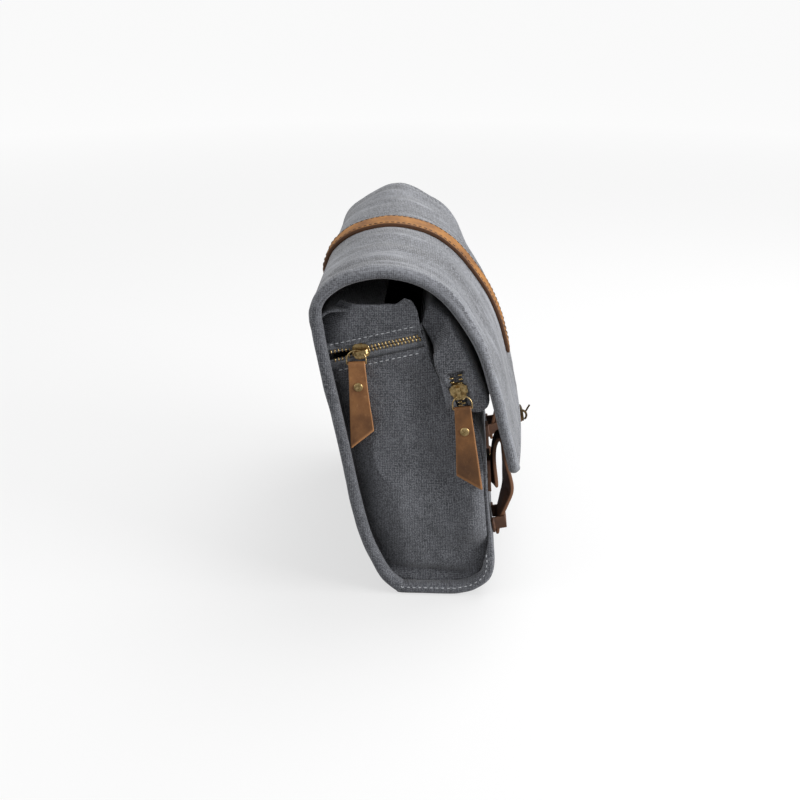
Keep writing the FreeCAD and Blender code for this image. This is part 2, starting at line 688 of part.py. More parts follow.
def main():
    makeSack()
    makeSides()
    makeSideZip()
    makeSliderSet(sideZip, sideSliderAt, sideRingHang, sideRingLean, -0.5, "side_zip")
    makeNeck()
    makeMouth()
    makeMouthEnd()
    makeSliderSet(mouthZip, mouthSliderAt, mouthRingHang, mouthRingLean, 0.4, "mouth_zip")
    makeFlap()
    makeTopStrap()
    makeHook()
    for side, name in ((-1, "right"), (1, "left")):
        makeFrontStrap(side, name)
    makeCatch()
    os.makedirs("parts", exist_ok=True)
    for name, shape in nodes.items():
        shape.exportStep("parts/" + name + ".step")
        box = shape.BoundBox
        print(name, shape.isValid(), len(shape.Solids), round(shape.Volume), "X %.1f %.1f Y %.1f %.1f Z %.1f %.1f" % (
            box.XMin, box.XMax, box.YMin, box.YMax, box.ZMin, box.ZMax))


main()
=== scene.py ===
import bpy
import bmesh
import json
import math
import numpy as np
from mathutils import Vector, Matrix, noise


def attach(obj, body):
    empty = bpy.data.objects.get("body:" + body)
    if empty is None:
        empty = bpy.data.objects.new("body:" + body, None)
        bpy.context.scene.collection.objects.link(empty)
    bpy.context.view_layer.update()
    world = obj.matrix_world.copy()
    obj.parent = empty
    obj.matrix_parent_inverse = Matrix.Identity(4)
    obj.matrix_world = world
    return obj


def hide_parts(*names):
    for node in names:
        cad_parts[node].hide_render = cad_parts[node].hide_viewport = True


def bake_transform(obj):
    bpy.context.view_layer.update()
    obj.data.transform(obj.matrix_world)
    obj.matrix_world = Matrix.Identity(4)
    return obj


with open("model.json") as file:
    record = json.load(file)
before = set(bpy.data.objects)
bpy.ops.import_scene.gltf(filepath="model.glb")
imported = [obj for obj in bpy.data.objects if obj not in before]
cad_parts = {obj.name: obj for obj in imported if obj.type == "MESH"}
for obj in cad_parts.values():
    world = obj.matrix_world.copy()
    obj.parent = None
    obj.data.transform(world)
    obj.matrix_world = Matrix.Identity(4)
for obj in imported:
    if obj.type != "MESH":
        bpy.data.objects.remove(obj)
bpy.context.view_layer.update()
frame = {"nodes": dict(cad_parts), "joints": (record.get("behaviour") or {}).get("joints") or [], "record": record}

scene = bpy.context.scene
scene.view_settings.view_transform = "Standard"
mm = 0.001


# ---- camera, floor and light ----
view = {"lens": 50.0, "sensor": 36.0, "place": (-1.0245, -0.0131, 0.5619), "right": (0.04885, -0.99878, 0.0),
        "back": (-0.91985, -0.04499, 0.38961)}


def addObject(name, data):
    thing = bpy.data.objects.new(name, data)
    scene.collection.objects.link(thing)
    return thing


def makeCamera():
    data = bpy.data.cameras.new("camera")
    data.sensor_width = view["sensor"]
    data.lens = view["lens"]
    back = Vector(view["back"]).normalized()
    up = back.cross(Vector(view["right"]).normalized()).normalized()
    turn = Matrix((up.cross(back).normalized(), up, back)).transposed()
    scene.camera = addObject("camera", data)
    scene.camera.matrix_world = Matrix.Translation(view["place"]) @ turn.to_4x4()


studio = {"floorSize": 30.0, "floorLevel": -0.0002, "floorGrey": 0.3, "floorGlow": 0.6, "farGlow": 0.22,
          "glowFrom": 0.35, "glowTo": 2.6, "worldGrey": 0.44,
          "lights": (("topLight", (0.3, -0.35, 1.35), (0, 0, 0.2), 13.0, 0.9),
                     ("frontLight", (-0.5, -1.45, 0.55), (0, 0, 0.15), 26.0, 0.9),
                     ("backLight", (-0.45, 1.35, 0.7), (0, 0, 0.15), 7.0, 1.1))}


def feed(tree, node, values):
    # sets a node's inputs, or links them where the value is another node's output
    for label, value in values.items():
        if isinstance(value, bpy.types.NodeSocket):
            tree.links.new(value, node.inputs[label])
        else:
            node.inputs[label].default_value = value
    return node


def addNode(tree, kind, values=None, operation=None):
    node = tree.nodes.new(kind)
    if operation:
        node.operation = operation
    return feed(tree, node, values or {})


def emptyTree(owner):
    owner.use_nodes = True
    owner.node_tree.nodes.clear()
    return owner.node_tree


def makeFloor():
    bpy.ops.mesh.primitive_plane_add(size=studio["floorSize"], location=(0, 0, studio["floorLevel"]))
    floor = bpy.context.object
    floor.name = "studio_floor"
    material = bpy.data.materials.new("studio_floor")
    tree = emptyTree(material)
    diffuse = addNode(tree, "ShaderNodeBsdfDiffuse", {"Color": (studio["floorGrey"],) * 3 + (1,)})
    # the glow grows with distance, so that the floor stays one pale tone as far as it is seen
    spot = addNode(tree, "ShaderNodeNewGeometry").outputs["Position"]
    reach = addNode(tree, "ShaderNodeVectorMath", {0: spot}, "LENGTH")
    ramp = addNode(tree, "ShaderNodeMapRange", {
        "Value": reach.outputs["Value"], "From Min": studio["glowFrom"], "From Max": studio["glowTo"],
        "To Min": studio["floorGlow"], "To Max": studio["floorGlow"] + studio["farGlow"]})
    seen = addNode(tree, "ShaderNodeLightPath").outputs["Is Camera Ray"]
    strength = mathNode(tree, "MULTIPLY", seen, ramp.outputs["Result"])
    glow = addNode(tree, "ShaderNodeEmission", {"Strength": strength})
    both = addNode(tree, "ShaderNodeAddShader", {0: diffuse.outputs[0], 1: glow.outputs[0]})
    addNode(tree, "ShaderNodeOutputMaterial", {"Surface": both.outputs[0]})
    floor.data.materials.append(material)


def makeStudio():
    makeFloor()
    scene.world = bpy.data.worlds.new("studio")
    tree = emptyTree(scene.world)
    soft, white = [addNode(tree, "ShaderNodeBackground", {"Color": (grey,) * 3 + (1,)}).outputs[0]
                   for grey in (studio["worldGrey"], 1)]
    seen = addNode(tree, "ShaderNodeLightPath").outputs["Is Camera Ray"]
    mix = addNode(tree, "ShaderNodeMixShader", {0: seen, 1: soft, 2: white})
    addNode(tree, "ShaderNodeOutputWorld", {"Surface": mix.outputs[0]})
    for name, spot, aim, power, size in studio["lights"]:
        lamp = bpy.data.lights.new(name, "AREA")
        lamp.energy = power
        lamp.size = size
        light = addObject(name, lamp)
        light.location = spot
        light.rotation_euler = (Vector(aim) - Vector(spot)).to_track_quat("-Z", "Y").to_euler()


# ---- shader groups ----
def newGroup(name, outputs):
    # a shader group that takes a place and puts out heights and masks
    group = bpy.data.node_groups.new(name, "ShaderNodeTree")
    group.interface.new_socket("Vector", in_out="INPUT", socket_type="NodeSocketVector")
    for label in outputs:
        group.interface.new_socket(label, in_out="OUTPUT", socket_type="NodeSocketFloat")
    return group, addNode(group, "NodeGroupInput").outputs["Vector"], addNode(group, "NodeGroupOutput")


def mathNode(tree, operation, *values):
    return addNode(tree, "ShaderNodeMath", dict(enumerate(values)), operation).outputs[0]


def noiseNode(tree, vector, scale, detail, rough):
    return addNode(tree, "ShaderNodeTexNoise", {"Vector": vector, "Scale": scale, "Detail": detail,
                                                "Roughness": rough}).outputs["Fac"]


def rampNode(tree, value, low, high):
    return addNode(tree, "ShaderNodeMapRange", {"Value": value, "From Min": low,
                                                "From Max": high}).outputs["Result"]


def mixColour(tree, factor, a, b):
    node = tree.nodes.new("ShaderNodeMix")
    node.data_type = "RGBA"
    colours = [(*c, 1) if isinstance(c, tuple) else c for c in (a, b)]
    # 0, 6, 7 and 2 are the sockets that a mix of colours uses
    return feed(tree, node, {0: factor, 6: colours[0], 7: colours[1]}).outputs[2]


weaveLook = {"thread": 4200.0, "amount": 0.085, "stray": 5.0, "grain": 850.0, "slub": 230.0, "cloud": 30.0}


def buildWeave():
    group, vector, out = newGroup("canvasWeave", ("Height", "Fleck", "Cloud"))
    split = addNode(group, "ShaderNodeSeparateXYZ", {0: vector})
    # plain weave: threads along each axis, of which a surface shows the two that lie in it
    fibre = noiseNode(group, vector, weaveLook["grain"], 2.0, 0.6)
    slub = noiseNode(group, vector, weaveLook["slub"], 3.0, 0.65)
    stray = mathNode(group, "MULTIPLY", slub, weaveLook["stray"])
    facing = addNode(group, "ShaderNodeSeparateXYZ",
                     {0: addNode(group, "ShaderNodeTexCoord").outputs["Normal"]})
    threads = None
    for axis, sign in (("X", 1), ("Y", 1), ("Z", -1)):
        along = mathNode(group, "MULTIPLY", split.outputs[axis], weaveLook["thread"])
        wave = mathNode(group, "SINE", mathNode(group, "ADD", along, stray))
        inPlane = rampNode(group, mathNode(group, "ABSOLUTE", facing.outputs[axis]), 0.85, 0.45)
        deep = mathNode(group, "MULTIPLY", inPlane, sign * weaveLook["amount"])
        wave = mathNode(group, "MULTIPLY", wave, deep)
        threads = wave if threads is None else mathNode(group, "ADD", threads, wave)
    height = mathNode(group, "ADD", threads, fibre)
    speck = mathNode(group, "ADD", mathNode(group, "MULTIPLY", height, 0.85),
                     mathNode(group, "MULTIPLY", slub, 0.25))
    cloud = noiseNode(group, vector, weaveLook["cloud"], 6.0, 0.65)
    feed(group, out, {"Height": height, "Fleck": rampNode(group, speck, 0.48, 0.68),
                      "Cloud": rampNode(group, cloud, 0.34, 0.66)})
    return group


def buildGrain():
    group, vector, out = newGroup("leatherGrain", ("Height", "Cloud", "Scuff"))
    cells = addNode(group, "ShaderNodeTexVoronoi", {"Vector": vector, "Scale": 900.0})
    pores = mathNode(group, "MULTIPLY", cells.outputs["Distance"], 0.5)
    feed(group, out, {
        "Height": mathNode(group, "ADD", pores, noiseNode(group, vector, 420.0, 5.0, 0.65)),
        "Cloud": rampNode(group, noiseNode(group, vector, 60.0, 5.0, 0.6), 0.3, 0.7),
        "Scuff": rampNode(group, noiseNode(group, vector, 230.0, 6.0, 0.7), 0.56, 0.72)})
    return group


weave = buildWeave()
grain = buildGrain()


def startMaterial(name, rough, metallic=0.0, sheen=0.0):
    material = bpy.data.materials.new(name)
    material.use_nodes = True
    tree = material.node_tree
    shader = feed(tree, tree.nodes["Principled BSDF"],
                  {"Roughness": rough, "Metallic": metallic, "Sheen Weight": sheen})
    return material, tree, shader, addNode(tree, "ShaderNodeTexCoord").outputs["Object"]


def useGroup(tree, group, coords):
    node = tree.nodes.new("ShaderNodeGroup")
    node.node_tree = group
    return feed(tree, node, {"Vector": coords}).outputs


def addBump(tree, shader, height, depth, strength):
    bump = addNode(tree, "ShaderNodeBump", {"Strength": strength, "Distance": depth, "Height": height})
    feed(tree, shader, {"Normal": bump.outputs[0]})


def attributeNode(tree, name, output="Fac"):
    node = tree.nodes.new("ShaderNodeAttribute")
    node.attribute_name = name
    return node.outputs[output]


def clothMaterial(name, dark, light, pale, rough=0.86, streaks=False, sheen=0.2):
    material, tree, shader, coords = startMaterial(name, rough, sheen=sheen)
    if streaks:
        # the flap's threads run long across it
        stretch = addNode(tree, "ShaderNodeVectorMath", {0: coords, 1: (0.45, 1.0, 1.0)}, "MULTIPLY")
        coords = stretch.outputs["Vector"]
    cloth = useGroup(tree, weave, coords)
    colour = mixColour(tree, cloth["Cloud"], dark, light)
    fleck = mixColour(tree, 0.72, colour, pale)
    colour = mixColour(tree, mathNode(tree, "MULTIPLY", cloth["Fleck"], 0.8), colour, fleck)
    patches = rampNode(tree, noiseNode(tree, coords, 420.0, 5.0, 0.75), 0.42, 0.72)
    patches = mathNode(tree, "MULTIPLY", patches, 0.55)
    worn = mathNode(tree, "MULTIPLY", attributeNode(tree, "wear"), patches)
    colour = mixColour(tree, worn, colour, pale)
    if streaks:
        # pale creases where the wax has broken, drawn out along the flap
        flow = attributeNode(tree, "flow", "Vector")
        line = rampNode(tree, noiseNode(tree, flow, 1.0, 5.0, 0.6), 0.53, 0.72)
        broad = rampNode(tree, noiseNode(tree, flow, 0.32, 3.0, 0.5), 0.42, 0.66)
        rubbed = mathNode(tree, "ADD", mathNode(tree, "MULTIPLY", line, 0.7),
                          mathNode(tree, "MULTIPLY", broad, 0.42))
        colour = mixColour(tree, mathNode(tree, "MULTIPLY", rubbed, 0.8), colour, pale)
    feed(tree, shader, {"Base Color": colour})
    addBump(tree, shader, cloth["Height"], 0.0005, 0.9)
    return material


def leatherMaterial(name, dark, light, scuffed, edge):
    material, tree, shader, coords = startMaterial(name, 0.6)
    hide = useGroup(tree, grain, coords)
    colour = mixColour(tree, hide["Cloud"], dark, light)
    # scuffs lighten the colour in patches, and the 'shade' attribute darkens it as painted shade towards a pull's
    # lower end
    for mask, share, other in ((hide["Scuff"], 0.4, scuffed),
                               (attributeNode(tree, "shade"), 0.5, tuple(0.45 * c for c in dark))):
        colour = mixColour(tree, mathNode(tree, "MULTIPLY", mask, share), colour, other)
    feed(tree, shader, {"Base Color": mixColour(tree, attributeNode(tree, "wear"), colour, edge)})
    addBump(tree, shader, hide["Height"], 0.00016, 0.6)
    return material


def metalMaterial(name, dark, light, rough=0.3):
    material, tree, shader, coords = startMaterial(name, rough, metallic=1.0)
    patina = rampNode(tree, noiseNode(tree, coords, 420.0, 4.0, 0.6), 0.34, 0.7)
    dull = mathNode(tree, "SUBTRACT", rough + 0.12, mathNode(tree, "MULTIPLY", patina, 0.16))
    feed(tree, shader, {"Base Color": mixColour(tree, patina, dark, light), "Roughness": dull})
    addBump(tree, shader, noiseNode(tree, coords, 900.0, 3.0, 0.5), 0.00002, 0.2)
    return material


paleSlate = (0.3, 0.31, 0.34)
finishes = {
    "canvas": clothMaterial("greyCanvas", (0.033, 0.035, 0.041), (0.066, 0.069, 0.079), paleSlate),
    "flapCanvas": clothMaterial("flapCanvas", (0.022, 0.023, 0.027), (0.055, 0.058, 0.066), paleSlate,
                                streaks=True, sheen=0.25),
    "lining": clothMaterial("darkLining", (0.012, 0.013, 0.015), (0.02, 0.021, 0.024), (0.05, 0.052, 0.057)),
    "zip_tape": clothMaterial("zipTape", (0.1, 0.105, 0.12), (0.15, 0.157, 0.175), (0.34, 0.35, 0.38), 0.8),
    "foam": clothMaterial("foamPad", (0.03, 0.03, 0.033), (0.045, 0.045, 0.05), (0.1, 0.1, 0.11)),
    "board": clothMaterial("baseBoard", (0.03, 0.03, 0.03), (0.045, 0.045, 0.045), (0.08, 0.08, 0.08)),
    "tan_leather": leatherMaterial("tanLeather", (0.17, 0.066, 0.014), (0.38, 0.165, 0.034),
                                   (0.5, 0.24, 0.07), (0.085, 0.033, 0.011)),
    "side_pull": leatherMaterial("sidePullLeather", (0.17, 0.068, 0.023), (0.4, 0.18, 0.062),
                                 (0.55, 0.28, 0.115), (0.6, 0.28, 0.11)),
    # painted shade: the mouth pull is the same leather as the side pull, coloured darker for the shade it hangs in
    "mouth_pull": leatherMaterial("mouthPullShadedLeather", (0.1, 0.04, 0.012), (0.24, 0.102, 0.03),
                                  (0.42, 0.2, 0.075), (0.44, 0.2, 0.07)),
    "dark_leather": leatherMaterial("darkLeather", (0.055, 0.024, 0.013), (0.13, 0.056, 0.026),
                                    (0.22, 0.105, 0.05), (0.16, 0.07, 0.032)),
    "antique_brass": metalMaterial("antiqueBrass", (0.3, 0.2, 0.08), (0.8, 0.6, 0.3)),
    "darkBrass": metalMaterial("darkBrass", (0.06, 0.04, 0.02), (0.22, 0.15, 0.07), 0.4),
    "thread": clothMaterial("paleThread", (0.42, 0.44, 0.47), (0.55, 0.57, 0.6), (0.8, 0.8, 0.82)),
    "greyThread": clothMaterial("greyThread", (0.22, 0.23, 0.25), (0.31, 0.325, 0.35), (0.5, 0.51, 0.53)),
    "darkThread": clothMaterial("darkThread", (0.02, 0.012, 0.009), (0.03, 0.02, 0.014), (0.08, 0.05, 0.03)),
}


# ---- lines and surfaces ----
def smoothLine(points, count):
    # evenly spaced points on a curve through points given in mm
    given = np.array(points, float) * mm
    held = np.vstack([2 * given[0] - given[1], given, 2 * given[-1] - given[-2]])
    dense = []
    for i in range(len(given) - 1):
        a, b, c, d = held[i:i + 4]
        for t in np.linspace(0, 1, 24, endpoint=False):
            bend = (2 * a - 5 * b + 4 * c - d) * t * t + (3 * b - a - 3 * c + d) * t ** 3
            dense.append(0.5 * (2 * b + (c - a) * t + bend))
    dense = np.array(dense + [given[-1]])
    run = np.r_[0, np.cumsum(np.linalg.norm(np.diff(dense, axis=0), axis=1))]
    at = np.linspace(0, run[-1], count)
    return np.stack([np.interp(at, run, dense[:, k]) for k in range(dense.shape[1])], axis=1)


def unit(rows):
    return rows / np.linalg.norm(rows, axis=1)[:, None]


def insideNormals(line):
    along = unit(np.gradient(line, axis=0))
    return np.stack([-along[:, 1], along[:, 0]], axis=1)


def smoothStep(value, low, high):
    t = min(1.0, max(0.0, (value - low) / (high - low)))
    return t * t * (3 - 2 * t)


def bell(value, centre, width):
    return math.exp(-((value - centre) / width) ** 2)


def ripple(spot, size, seed):
    return noise.noise(Vector(spot) / size + Vector((seed, -seed, 0.37 * seed)))


def gridMesh(name, grid, wear=0.0, closedRound=True, caps=True, finish="canvas", shade=None, flow=None):
    # a skin over rows of points, which carries wear, painted shade and flow on its points for the materials
    grid = np.array(grid)
    rows, cols = grid.shape[:2]
    verts = [tuple(p) for p in grid.reshape(-1, 3)]
    faces = []
    for r in range(rows - 1):
        for c in range(cols if closedRound else cols - 1):
            d = (c + 1) % cols
            faces.append((r * cols + c, r * cols + d, (r + 1) * cols + d, (r + 1) * cols + c))
    if closedRound and caps:
        for r in (0, rows - 1):
            verts.append(tuple(grid[r].mean(axis=0)))
            faces += [(r * cols + c, r * cols + (c + 1) % cols, len(verts) - 1) for c in range(cols)]
    mesh = bpy.data.meshes.new(name)
    mesh.from_pydata(verts, [], faces)
    for label, values in (("wear", wear), ("shade", shade), ("flow", flow)):
        if values is not None:
            kind, field, width = ("FLOAT_VECTOR", "vector", 3) if label == "flow" else ("FLOAT", "value", 1)
            held = np.zeros(len(verts) * width)
            held[:rows * cols * width] = np.array(values, float).reshape(-1)
            mesh.attributes.new(label, kind, "POINT").data.foreach_set(field, held)
    cleanMesh(mesh, 0.000005)
    mesh.materials.append(finishes[finish])
    smoothFaces(mesh)
    return addObject(name, mesh)


def cleanMesh(mesh, distance, flatten=False):
    # merges doubles, joins faces that lie flat if asked, and turns every face outward
    work = bmesh.new()
    work.from_mesh(mesh)
    bmesh.ops.remove_doubles(work, verts=work.verts, dist=distance)
    if flatten:
        bmesh.ops.dissolve_limit(work, angle_limit=0.02, verts=work.verts, edges=work.edges)
    bmesh.ops.recalc_face_normals(work, faces=work.faces)
    work.to_mesh(mesh)
    work.free()


def smoothFaces(mesh):
    mesh.polygons.foreach_set("use_smooth", [True] * len(mesh.polygons))


def bake(piece, kind, **settings):
    # gives the piece one modifier, and puts its result into the mesh
    modifier = piece.modifiers.new(kind.lower(), kind)
    for key, value in settings.items():
        setattr(modifier, key, value)
    bpy.context.view_layer.update()
    mesh = bpy.data.meshes.new_from_object(piece.evaluated_get(bpy.context.evaluated_depsgraph_get()))
    piece.modifiers.clear()
    piece.data = mesh


def place(piece, body, slot, *nodes):
    if nodes:
        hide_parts(*nodes)
    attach(piece, body)
    return piece


# ---- the sack: front, base and back in one strip, with rolled edges ----
sack = {
    "halfWidth": 143.0,
    "front": [(11.6, 253.0), (5.0, 234.0), (-4.0, 212.0), (-17.0, 190.0), (-31.0, 175.0), (-41.0, 157.0),
              (-46.0, 130.0), (-48.5, 96.0), (-52.0, 64.0), (-56.5, 36.0), (-53.0, 17.5), (-40.0, 5.8),
              (-27.0, 1.4)],
    "base": [(-17.0, 0.1), (6.0, 0.0), (29.0, 0.1)],
    "back": [(33.5, 2.4), (39.6, 7.4), (47.7, 16.7), (55.8, 32.0), (65.5, 56.0), (75.0, 96.0), (87.0, 160.0),
             (100.0, 227.0), (105.0, 260.0)],
    "cloth": 2.4, "weltDepth": 12.0, "weltThickness": 10.5, "cornerDepth": 1.6, "cornerThickness": 3.0,
    "inset": 2.6,  # how far the sides stand inside the strip
    "roll": [(0.35, 0.0), (0.62, 0.01), (0.82, 0.05), (0.95, 0.16), (1.0, 0.34), (1.0, 0.6), (0.96, 0.8),
             (0.84, 0.93), (0.66, 0.99), (0.42, 1.0), (0.18, 0.95), (0.04, 0.82), (0.0, 0.6)]}


def weltSize(y, z):
    # full at the back and under the base, small up the front, and gone beside the neck
    full = sack["weltThickness"]
    if y > 25 * mm or (y > -15 * mm and z < 60 * mm):
        return sack["weltDepth"], full
    low = 1 - smoothStep(z, 28 * mm, 62 * mm)
    depth = sack["cornerDepth"] + (sack["weltDepth"] - sack["cornerDepth"]) * low
    thick = sack["cornerThickness"] + (full - sack["cornerThickness"]) * low
    gone = smoothStep(z, 150 * mm, 176 * mm)
    return depth * (1 - gone) - sack["inset"] * gone, thick * (1 - gone) + sack["cloth"] * gone


def makeSack():
    line = smoothLine(sack["front"] + sack["base"] + sack["back"], 260)
    inward = insideNormals(line)
    half = sack["halfWidth"]
    spans = list(np.linspace(1, -1, 60))
    outer = [(half * s, 0.0, 0.0) for s in spans]
    inner = [(-half * s, sack["cloth"], 0.0) for s in spans]
    grid, wear = [], []
    for i, (y, z) in enumerate(line):
        depth, thick = weltSize(y, z)
        near = [(-(half + depth * a), thick * b, 1.0 if b < 0.3 and a > 0.5 else 0.15)
                for a, b in sack["roll"]]
        far = [(-x, n, w) for x, n, w in reversed(near)]
        section = outer + near + inner + far
        row = []
        for x, n, w in section:
            sway = 0.0
            if n < 0.5 * thick and z > 6 * mm:
                spot = (x * mm, y, z)
                calm = 0.35 if y < 0 else 1 - smoothStep(z, 228 * mm, 248 * mm)
                sway = calm * (0.9 * ripple(spot, 0.05, 3.1) + 0.5 * ripple(spot, 0.019, 7.7) - 0.3)
            away = (max(sway, -0.8) - n) * mm
            row.append((x * mm, y - inward[i][0] * away, max(z - inward[i][1] * away, 0.0)))
        grid.append(row)
        wear.append([w for x, n, w in section])
    strip = gridMesh("sack_strip", grid, wear)
    place(strip, "bag", "canvas", "front_panel", "base_panel", "back_panel", "right_welt", "left_welt")


# ---- sides ----
sideSlot = {"centre": (50.8, 235.1), "along": (0.9713, -0.238), "halfLength": 42.0, "halfWidth": 7.8,
            "hemWidth": 6.0}
side = {"face": 141.9, "belly": 7.1, "lowBelly": 0.9, "hollow": 4.0, "ridge": 2.6, "crease": 0.7,
        "valley": 13.0, "baseFold": 5.0, "corner": 8.2, "frontSink": 2.0, "hem": 1.0, "limit": 143.9,
        "foldTop": 5.0, "curl": 8.0, "thickness": 1.4, "bottom": 2.8, "top": 269.0}


def placeAlong(opening, y, z):
    # along and across an opening, from its centre, in mm
    a, b = opening["along"]
    dy, dz = y - opening["centre"][0], z - opening["centre"][1]
    return dy * a + dz * b, dy * b - dz * a


def sideAt(y, z, u, sign):
    # how far the side cloth stands out: u runs from the front edge to the valley beside the back edge
    high = z / mm
    low = bell(high, 95, 70)
    belly = side["belly"] * low * bell(u, 0.68, 0.2)
    belly += side["lowBelly"] * bell(high, 20, 22)
    hollow = -side["hollow"] * bell(u, 0.3, 0.13) * smoothStep(high, 60, 150)
    ridge = side["ridge"] * ripple((0.0, y, z * 0.22), 0.021, 2.2 + sign) * (0.5 + low)
    ridge += side["crease"] * ripple((0.0, y, z), 0.012, 5.0)
    valley = -side["valley"] * bell(u, 1, 0.14) * smoothStep(high, 8, 40)
    valley -= side["baseFold"] * bell(high, 14.5 + 5 * u, 5) * smoothStep(u, 0.1, 0.3)
    turn = math.sqrt(1 - (1 - min(u / 0.11, 1.0)) ** 2) * bell(max(u, 0.11), 0.11, 0.2)
    corner = side["corner"] * turn * smoothStep(high, 40, 66) * (1 - smoothStep(high, 150, 182))
    sink = -side["frontSink"] * bell(u, 0, 0.06) * (1 - smoothStep(high, 40, 60))
    calm, hem = 1.0, 0.0
    if sign < 0:  # the near side lies calm around the zip, with the slot's hem standing out a little
        s, t = placeAlong(sideSlot, y / mm, high)
        beside = max(abs(s) - sideSlot["halfLength"], abs(t) - sideSlot["halfWidth"], 0.0)
        calm = smoothStep(beside, 3.0, 24.0)
        hem = side["hem"] * (1 - smoothStep(beside, sideSlot["hemWidth"], sideSlot["hemWidth"] + 0.9))
    out = side["face"] + hem + calm * (belly + hollow + ridge + corner + sink) + max(calm, 0.55) * valley
    return min(out, side["limit"] + 8.0 * (1 - smoothStep(high, 100, 136)))


def sideRows(sign):
    # rows of the side cloth from the base up, each from the front edge to the back edge
    front = smoothLine(sack["front"] + sack["base"][:1], 300)
    back = smoothLine(sack["base"][2:] + sack["back"], 300)
    inset = sack["inset"] - 2.2 * np.array([smoothStep(z, 150 * mm, 176 * mm) for z in front[:, 1]])
    front = front + insideNormals(front) * inset[:, None] * mm
    back = back + insideNormals(back) * sack["inset"] * mm
    front = front[np.argsort(front[:, 1])]
    back = back[np.argsort(back[:, 1])]
    grid = []
    for high in np.linspace(side["bottom"], side["top"], 190):
        z = high * mm
        y0 = np.interp(z, front[:, 1], front[:, 0])
        if high >= 253:  # beside the neck's crease the front edge leans back
            rise = (high - 253) / 16
            y0 = (12.8 + 4.0 * rise + 6.0 * rise ** 4) * mm
        y1 = min(np.interp(z, back[:, 1], back[:, 0]), (99.4 - 18.0 * smoothStep(high, 256, 269.5)) * mm)
        fold = 1.5 * bell(high, 267.5, 1.6)
        row = []
        for u in np.linspace(0, 1, 130):
            # the cut edge is turned over at the top and curls up beside the neck
            y = y0 + (y1 - y0) * u
            curl = (1 - smoothStep(y / mm, 22.0, 36.0)) * (0.55 + 0.45 * smoothStep(u, 0.0, 0.07))
            lift = (side["foldTop"] + side["curl"] * curl) * smoothStep(high, 251, 269)
            row.append((sign * (sideAt(y, z, u, sign) + fold) * mm, y, z + lift * mm))
        grid.append(row)
    return np.array(grid)


def makeSides():
    for sign, name in ((-1, "right"), (1, "left")):
        grid = sideRows(sign)
        wear = [[0.7 * smoothStep(z, 263, 268)] * grid.shape[1]
                for z in np.linspace(side["bottom"], side["top"], len(grid))]
        sheet = gridMesh(name + "_side", grid, wear, closedRound=False)
        if sign < 0:
            cutSlot(sheet.data)
        bake(sheet, "SOLIDIFY", thickness=side["thickness"] * mm, offset=-1.0)
        place(sheet, "bag", "canvas", name + "_gusset")


def cutSlot(mesh):
    work = bmesh.new()
    work.from_mesh(mesh)
    a, b = sideSlot["along"]
    centre = Vector((0, *sideSlot["centre"])) * mm
    for way, reach in ((Vector((0, a, b)), sideSlot["halfLength"]),
                       (Vector((0, b, -a)), sideSlot["halfWidth"])):
        for sign in (-1, 1):
            bmesh.ops.bisect_plane(work, geom=work.verts[:] + work.edges[:] + work.faces[:],
                                   plane_co=centre + way * sign * reach * mm, plane_no=way)
    gone = []
    for face in work.faces:
        s, t = placeAlong(sideSlot, *(face.calc_center_median() / mm)[1:])
        if abs(s) < sideSlot["halfLength"] and abs(t) < sideSlot["halfWidth"]:
            gone.append(face)
    bmesh.ops.delete(work, geom=gone, context="FACES")
    work.to_mesh(mesh)
    work.free()
    smoothFaces(mesh)


# ---- flap ----
flap = {
    "line": [(105.0, 260.5), (104.6, 272.0), (97.5, 286.5), (80.0, 300.0), (57.0, 307.2), (36.0, 308.0),
             (14.0, 303.0), (-4.0, 293.0), (-20.0, 277.0), (-37.5, 251.0), (-47.5, 229.0), (-56.5, 198.0),
             (-63.5, 171.0), (-71.5, 141.0), (-76.2, 122.0)],
    "halfWidth": 155.0, "cloth": 4.0, "hem": 9.5, "hemWidth": 12.0, "corner": 15.0, "bulge": 7.0, "edge": 5.0,
    "lip": [(0.3, 0.0), (0.6, 0.02), (0.82, 0.1), (0.95, 0.26), (1.0, 0.48), (0.96, 0.72), (0.85, 0.88),
            (0.66, 0.97), (0.42, 1.0), (0.2, 0.97), (0.05, 0.86), (0.0, 0.62)],
    "liningHalf": 141.0, "liningThickness": 0.8, "frontSag": 10.0, "topRise": 7.0, "wave": 1.6, "pulls": 2.0,
    "fine": 0.5}


def flapOut(x, y, z):
    share = min(1.0, max(0.0, (308 * mm - z) / (95 * mm))) if y < 40 * mm else 0.0
    across = max(0.0, 1 - (x / (143 * mm)) ** 2)
    return -flap["bulge"] * mm * share * across


def flapCurve():
    line = smoothLine(flap["line"], 230)
    inward = insideNormals(line)
    run = np.r_[0, np.cumsum(np.linalg.norm(np.diff(line, axis=0), axis=1))]
    return line, inward, run[-1] - run


def farSag(x, y, z):
    # the far end slumps in front and stands up a little at the top
    far = smoothStep(x, 40 * mm, 150 * mm)
    front = 1 - smoothStep(y, 10 * mm, 45 * mm)
    raised = (1 - front) * (1 - smoothStep(y, 50 * mm, 85 * mm)) * smoothStep(z, 0.25, 0.29)
    return far * mm * (flap["frontSag"] * front * bell(z / mm, 250, 40) - flap["topRise"] * raised)


def flapPoint(x, i, n, curveData):
    line, inward = curveData[:2]
    y, z = line[i]
    n = n + farSag(x, y, z)
    return (x, y + inward[i][0] * n + flapOut(x, y, z), z + inward[i][1] * n)


def flapCrease(x, left, spot):
    # soft cross creases and pulls, calm beside the strap, at the hem and where the flap is sewn on
    a, b, c = spot
    wave = flap["wave"] * ripple((a * 1.3, b * 0.45, c * 0.45), 0.023, 4.2)
    wave += flap["pulls"] * ripple((a * 0.7, b, c), 0.055, 1.3)
    fine = flap["fine"] * ripple((a * 1.4, b * 0.6, c * 0.6), 0.009, 9.1)
    calm = smoothStep(abs(x), 16 * mm, 26 * mm) * smoothStep(left, 4 * mm, 16 * mm)
    return calm * (1 - smoothStep(b, 88 * mm, 102 * mm)) * (wave + fine) * mm


